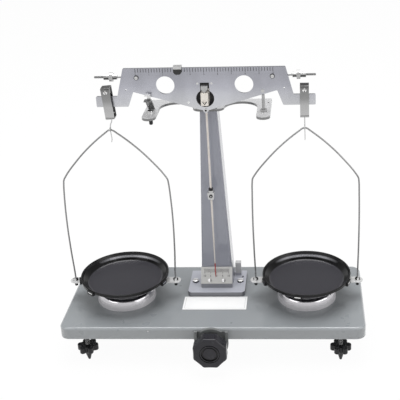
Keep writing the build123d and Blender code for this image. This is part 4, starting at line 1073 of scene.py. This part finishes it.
def hangerHook(side):
    low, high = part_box(f"{side}_hook")
    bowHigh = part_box(f"{side}_hanger_bow")[1]
    shape = hookShape
    radius = shape["radius"]
    x = panCentre[side].x
    seatZ = bowHigh.z - shape["bowRadius"]
    around = shape["bowRadius"] + shape["gap"] + radius
    lean = math.radians(shape["lean"][side])
    down = Vector((math.sin(lean), 0, -math.cos(lean)))
    head = Vector(((low.x + high.x) / 2, beamMidY, high.z - hookHead["height"]))
    if side == "left":
        head.x = high.x - hookHead["radius"]  # the leaning hook's box is wider than its head
    tipY = beamMidY - around - shape["tipOut"]
    parts = bmesh.new()
    addWire(parts, f"{side}_hook_seat", [
        (*head, radius),
        (*(head + down * shape["straight"]), radius),
        (x, beamMidY + around * shape["kneeShare"], seatZ + shape["kneeRise"], radius),
        (x, beamMidY + around, seatZ, radius),
        (x, beamMidY, seatZ - around, radius),
        (x, beamMidY - around, seatZ, radius),
        (x, tipY, seatZ + shape["tipRise"], radius * shape["tipTaper"]),
    ])
    tail = shape["tailRadius"]
    drop = seatZ - around - low.z
    bends = []
    for swayed, height in shape["tailBends"]:
        bends.append((x + shape["tailSway"][side] * swayed, beamMidY, low.z + drop * height, tail))
    end = (x, beamMidY, low.z + tail, tail * shape["tailTaper"])
    addWire(parts, f"{side}_hook_tail", [(x, beamMidY, seatZ - around, tail), *bends, end])
    wire = settle(f"{side}_hook_wire", f"{side}_stirrup", parts, Matrix(), "hook")
    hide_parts(f"{side}_hook")
    place = Matrix.Translation(head) @ Matrix.Rotation(-lean, 4, "Y")
    turned(f"{side}_hook_head", f"{side}_stirrup", hookHead, place, "hook")


# Hanger bows: wire from lug to lug, its legs a little sprung outwards

bowShape = {
    "radius": 0.001, "bulge": {"left": 0.0022, "right": 0.0010}, "apex": 0.2845,
    # One half from lug to apex: distance from the middle, height, and share of the bulge
    "half": [
        (0.0646, 0.0716, 0.0), (0.0646, 0.0830, 0.0), (0.0646, 0.1240, 0.75), (0.0646, 0.1640, 1.0),
        (0.0646, 0.1990, 0.55), (0.06455, 0.2150, 0.05), (0.0640, 0.2190, 0.0), (0.0618, 0.2232, 0.0),
        (0.04723, 0.24224, 0.0), (0.02636, 0.26426, 0.0), (0.0060, 0.28130, 0.0), (0.0028, 0.28365, 0.0),
    ],
}


def hangerBow(side):
    shape = bowShape
    centre = panCentre[side].x
    points = [(x + spring * shape["bulge"][side], z) for x, z, spring in shape["half"]]
    route = [(-x, z) for x, z in points] + [(0, shape["apex"])] + list(reversed(points))
    parts = bmesh.new()
    addWire(parts, f"{side}_bow", [(centre + x, beamMidY, z, shape["radius"]) for x, z in route])
    bow = settle(f"{side}_bow_wire", f"{side}_hanger", parts, Matrix(), "wire")
    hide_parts(f"{side}_hanger_bow")


for side in sides:
    hangerHook(side)
    hangerBow(side)
print("hooks and bows bent")


# Small turned pieces seen in the photograph

restScrewMiddle = middleOf("rest_screw")
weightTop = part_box("pointer_weight")[1].z
turnedPieces = {
    "skirt_rivet": {
        "body": "stand", "finish": "plated", "radius": 0.0011, "height": 0.0005, "turn": 90,
        "profile": ((1, 0), (0.95, 0.5), (0.6, 0.9), (0.2, 1)),
        "at": (-0.0772, baseLow.y, baseHigh.z - 0.0042),
    },
    "plumb_rivet": {
        "body": "beam", "finish": "label", "radius": 0.0013, "height": 0.0004, "turn": 90,
        "profile": ((1, 0), (0.9, 0.7), (0.5, 1)),
        "at": (-0.0197, beamLow.y, 0.3182),
    },
    # Blackened cap nut on the lower end of the left rest's screw
    "rest_screw_cap": {
        "body": "stand", "finish": "black", "radius": 0.0023, "height": 0.0062, "turn": 0,
        "profile": ((0.35, 0), (0.8, 0.08), (1, 0.25), (1, 0.94), (0.9, 1)),
        "at": (restScrewMiddle.x, restScrewMiddle.y, armLow.z - 0.0116),
    },
    "weight_collar": {
        "body": "pointer_weight", "finish": "black", "radius": 0.0029, "height": 0.0030, "turn": 0,
        "profile": ((0.85, 0), (1, 0.08), (1, 0.7), (0.8, 0.96), (0.66, 1)),
        "at": (middleOf("pointer_weight").x, middleOf("pointer_rod").y, weightTop + 0.0002),
    },
}
for name, shape in turnedPieces.items():
    place = Matrix.Translation(shape["at"]) @ Matrix.Rotation(math.radians(shape["turn"]), 4, "X")
    turned(name, shape["body"], shape, place, shape["finish"])

panTabs = {
    "angles": {"left": (196, 232, 340), "right": (200, 259, 338)}, "out": 0.0571, "width": 0.0074,
    "height": 0.0015, "thickness": 0.0006, "belowRim": 0.0032, "bevel": 0.0002,
}


def tabInsets(side):
    # Bright strips in the slots of the pan's lugs
    parts = bmesh.new()
    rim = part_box(f"{side}_pan")[1].z
    centre = Matrix.Translation((panTabs["out"], 0, rim - panTabs["belowRim"]))
    size = Matrix.Diagonal((panTabs["thickness"], panTabs["width"], panTabs["height"], 1))
    for angle in panTabs["angles"][side]:
        turn = Matrix.Rotation(math.radians(angle), 4, "Z")
        made = bmesh.ops.create_cube(parts, size=1, matrix=turn @ centre @ size)
        edges = {edge for vert in made["verts"] for edge in vert.link_edges}
        bmesh.ops.bevel(parts, geom=list(edges), offset=panTabs["bevel"], segments=2, affect="EDGES")
    middle = Vector((panCentre[side].x, beamMidY, 0))
    settle(f"{side}_tab_insets", f"{side}_pan", parts, Matrix.Translation(middle), "chrome")


for side in sides:
    tabInsets(side)
print("small pieces made")


# Camera at the photograph's viewpoint

cameraSettings = {
    "location": (0.120, -0.952, 0.6515), "yaw": 3.02, "pitch": 22.57, "roll": 1.70, "lens": 78.5,
    "shift": (-0.165, -0.1125), "sensor": 36, "farEnd": 50,
}


def makeCamera():
    data = bpy.data.cameras.new("camera")
    data.sensor_width = cameraSettings["sensor"]
    data.lens = cameraSettings["lens"]
    data.shift_x, data.shift_y = cameraSettings["shift"]
    data.clip_end = cameraSettings["farEnd"]
    camera = linked("camera", data)
    yaw, pitch, roll = (math.radians(cameraSettings[key]) for key in ("yaw", "pitch", "roll"))
    turn = Matrix.Rotation(yaw, 4, "Z") @ Matrix.Rotation(math.pi / 2 - pitch, 4, "X")
    turn = turn @ Matrix.Rotation(-roll, 4, "Z")
    camera.matrix_world = Matrix.Translation(cameraSettings["location"]) @ turn
    bpy.context.scene.camera = camera


# Studio: pale floor, soft light

studio = {
    "floorSize": 6.4, "floorDrop": 0.0002, "floorColour": (0.86, 0.86, 0.86, 1), "floorGlow": 0.96,
    "worldLight": 0.44, "mirrored": 0.3,
    "screenRadius": 3.0, "screenSides": 48, "screenBack": 1.0, "screenFront": 2.2,
    "lamps": [
        {"name": "key_light", "at": (-1.3, -0.9, 1.5), "size": 1.3, "watts": 11},
        {"name": "fill_light", "at": (1.4, -0.6, 1.1), "size": 1.4, "watts": 10},
        {"name": "top_light", "at": (0.05, 0.25, 1.8), "size": 1.4, "watts": 31},
    ],
}
floorZ = cadBounds[0].z - studio["floorDrop"]


def makeWorld():
    # Each kind of ray sees its own strength: the light, then mirrors, then the camera
    world = bpy.data.worlds.new("studio")
    bpy.context.scene.world = world
    tree = clearTree(world)
    path = addNode(tree, "ShaderNodeLightPath")
    shown = addNode(tree, "ShaderNodeBackground", inputs=[white, studio["worldLight"]])
    for kind, strength in (("Is Glossy Ray", studio["mirrored"]), ("Is Camera Ray", 1)):
        background = addNode(tree, "ShaderNodeBackground", inputs=[white, strength])
        shown = addNode(tree, "ShaderNodeMixShader", inputs=[path.outputs[kind], shown, background])
    addNode(tree, "ShaderNodeOutputWorld", inputs=[shown])


def studioPiece(name, corners, faces):
    # A mesh of the studio with one empty material
    mesh = bpy.data.meshes.new(name)
    mesh.from_pydata(corners, [], faces)
    material = bpy.data.materials.new(name)
    mesh.materials.append(material)
    return linked(name, mesh), clearTree(material)


def endTree(tree, share, first, second):
    # A mix of two shaders as a material's surface
    mix = addNode(tree, "ShaderNodeMixShader", inputs=[share, first, second])
    addNode(tree, "ShaderNodeOutputMaterial", inputs=[mix])


def makeFloor():
    # Matte for the light, and near white for the camera, in mirrors and through glass
    half = studio["floorSize"] / 2
    corners = [(x * half, y * half, floorZ) for x, y in ((-1, -1), (1, -1), (1, 1), (-1, 1))]
    floor, tree = studioPiece("floor", corners, [(0, 1, 2, 3)])
    path = addNode(tree, "ShaderNodeLightPath")
    seen = path.outputs["Is Camera Ray"]
    for kind in ("Is Glossy Ray", "Is Transmission Ray"):
        seen = addNode(tree, "ShaderNodeMath", {"operation": "MAXIMUM"}, [seen, path.outputs[kind]])
    glowing = addNode(tree, "ShaderNodeMath", {"operation": "MULTIPLY"}, [seen, studio["floorGlow"]])
    matte = addNode(tree, "ShaderNodeBsdfDiffuse", inputs=[studio["floorColour"]])
    endTree(tree, glowing, matte, addNode(tree, "ShaderNodeEmission", inputs=[white]))


def makeScreen():
    # White screen round the table, seen only in mirrors; higher in front than behind
    radius, count = studio["screenRadius"], studio["screenSides"]
    corners = []
    faces = []
    for step in range(count):
        angle = 2 * math.pi * step / count
        front = (1 - math.sin(angle)) / 2
        height = studio["screenBack"] + (studio["screenFront"] - studio["screenBack"]) * front
        x, y = radius * math.cos(angle), radius * math.sin(angle)
        corners += [(x, y, floorZ), (x, y, floorZ + height)]
        here, after = 2 * step, 2 * ((step + 1) % count)
        faces.append((here, after, after + 1, here + 1))
    screen, tree = studioPiece("screen", corners, faces)
    path = addNode(tree, "ShaderNodeLightPath")
    clear = addNode(tree, "ShaderNodeBsdfTransparent")
    glow = addNode(tree, "ShaderNodeEmission", inputs=[white])
    endTree(tree, path.outputs["Is Glossy Ray"], clear, glow)


def makeLamps():
    target = (cadBounds[0] + cadBounds[1]) / 2
    for lamp in studio["lamps"]:
        data = bpy.data.lights.new(lamp["name"], "AREA")
        data.energy = lamp["watts"]
        data.size = lamp["size"]
        light = linked(lamp["name"], data)
        spot = Vector(lamp["at"])
        turn = (target - spot).to_track_quat("-Z", "Y").to_matrix().to_4x4()
        light.matrix_world = Matrix.Translation(spot) @ turn


makeCamera()
makeWorld()
makeFloor()
makeScreen()
makeLamps()
bpy.context.scene.view_settings.view_transform = "Standard"
print("camera, light and floor made")
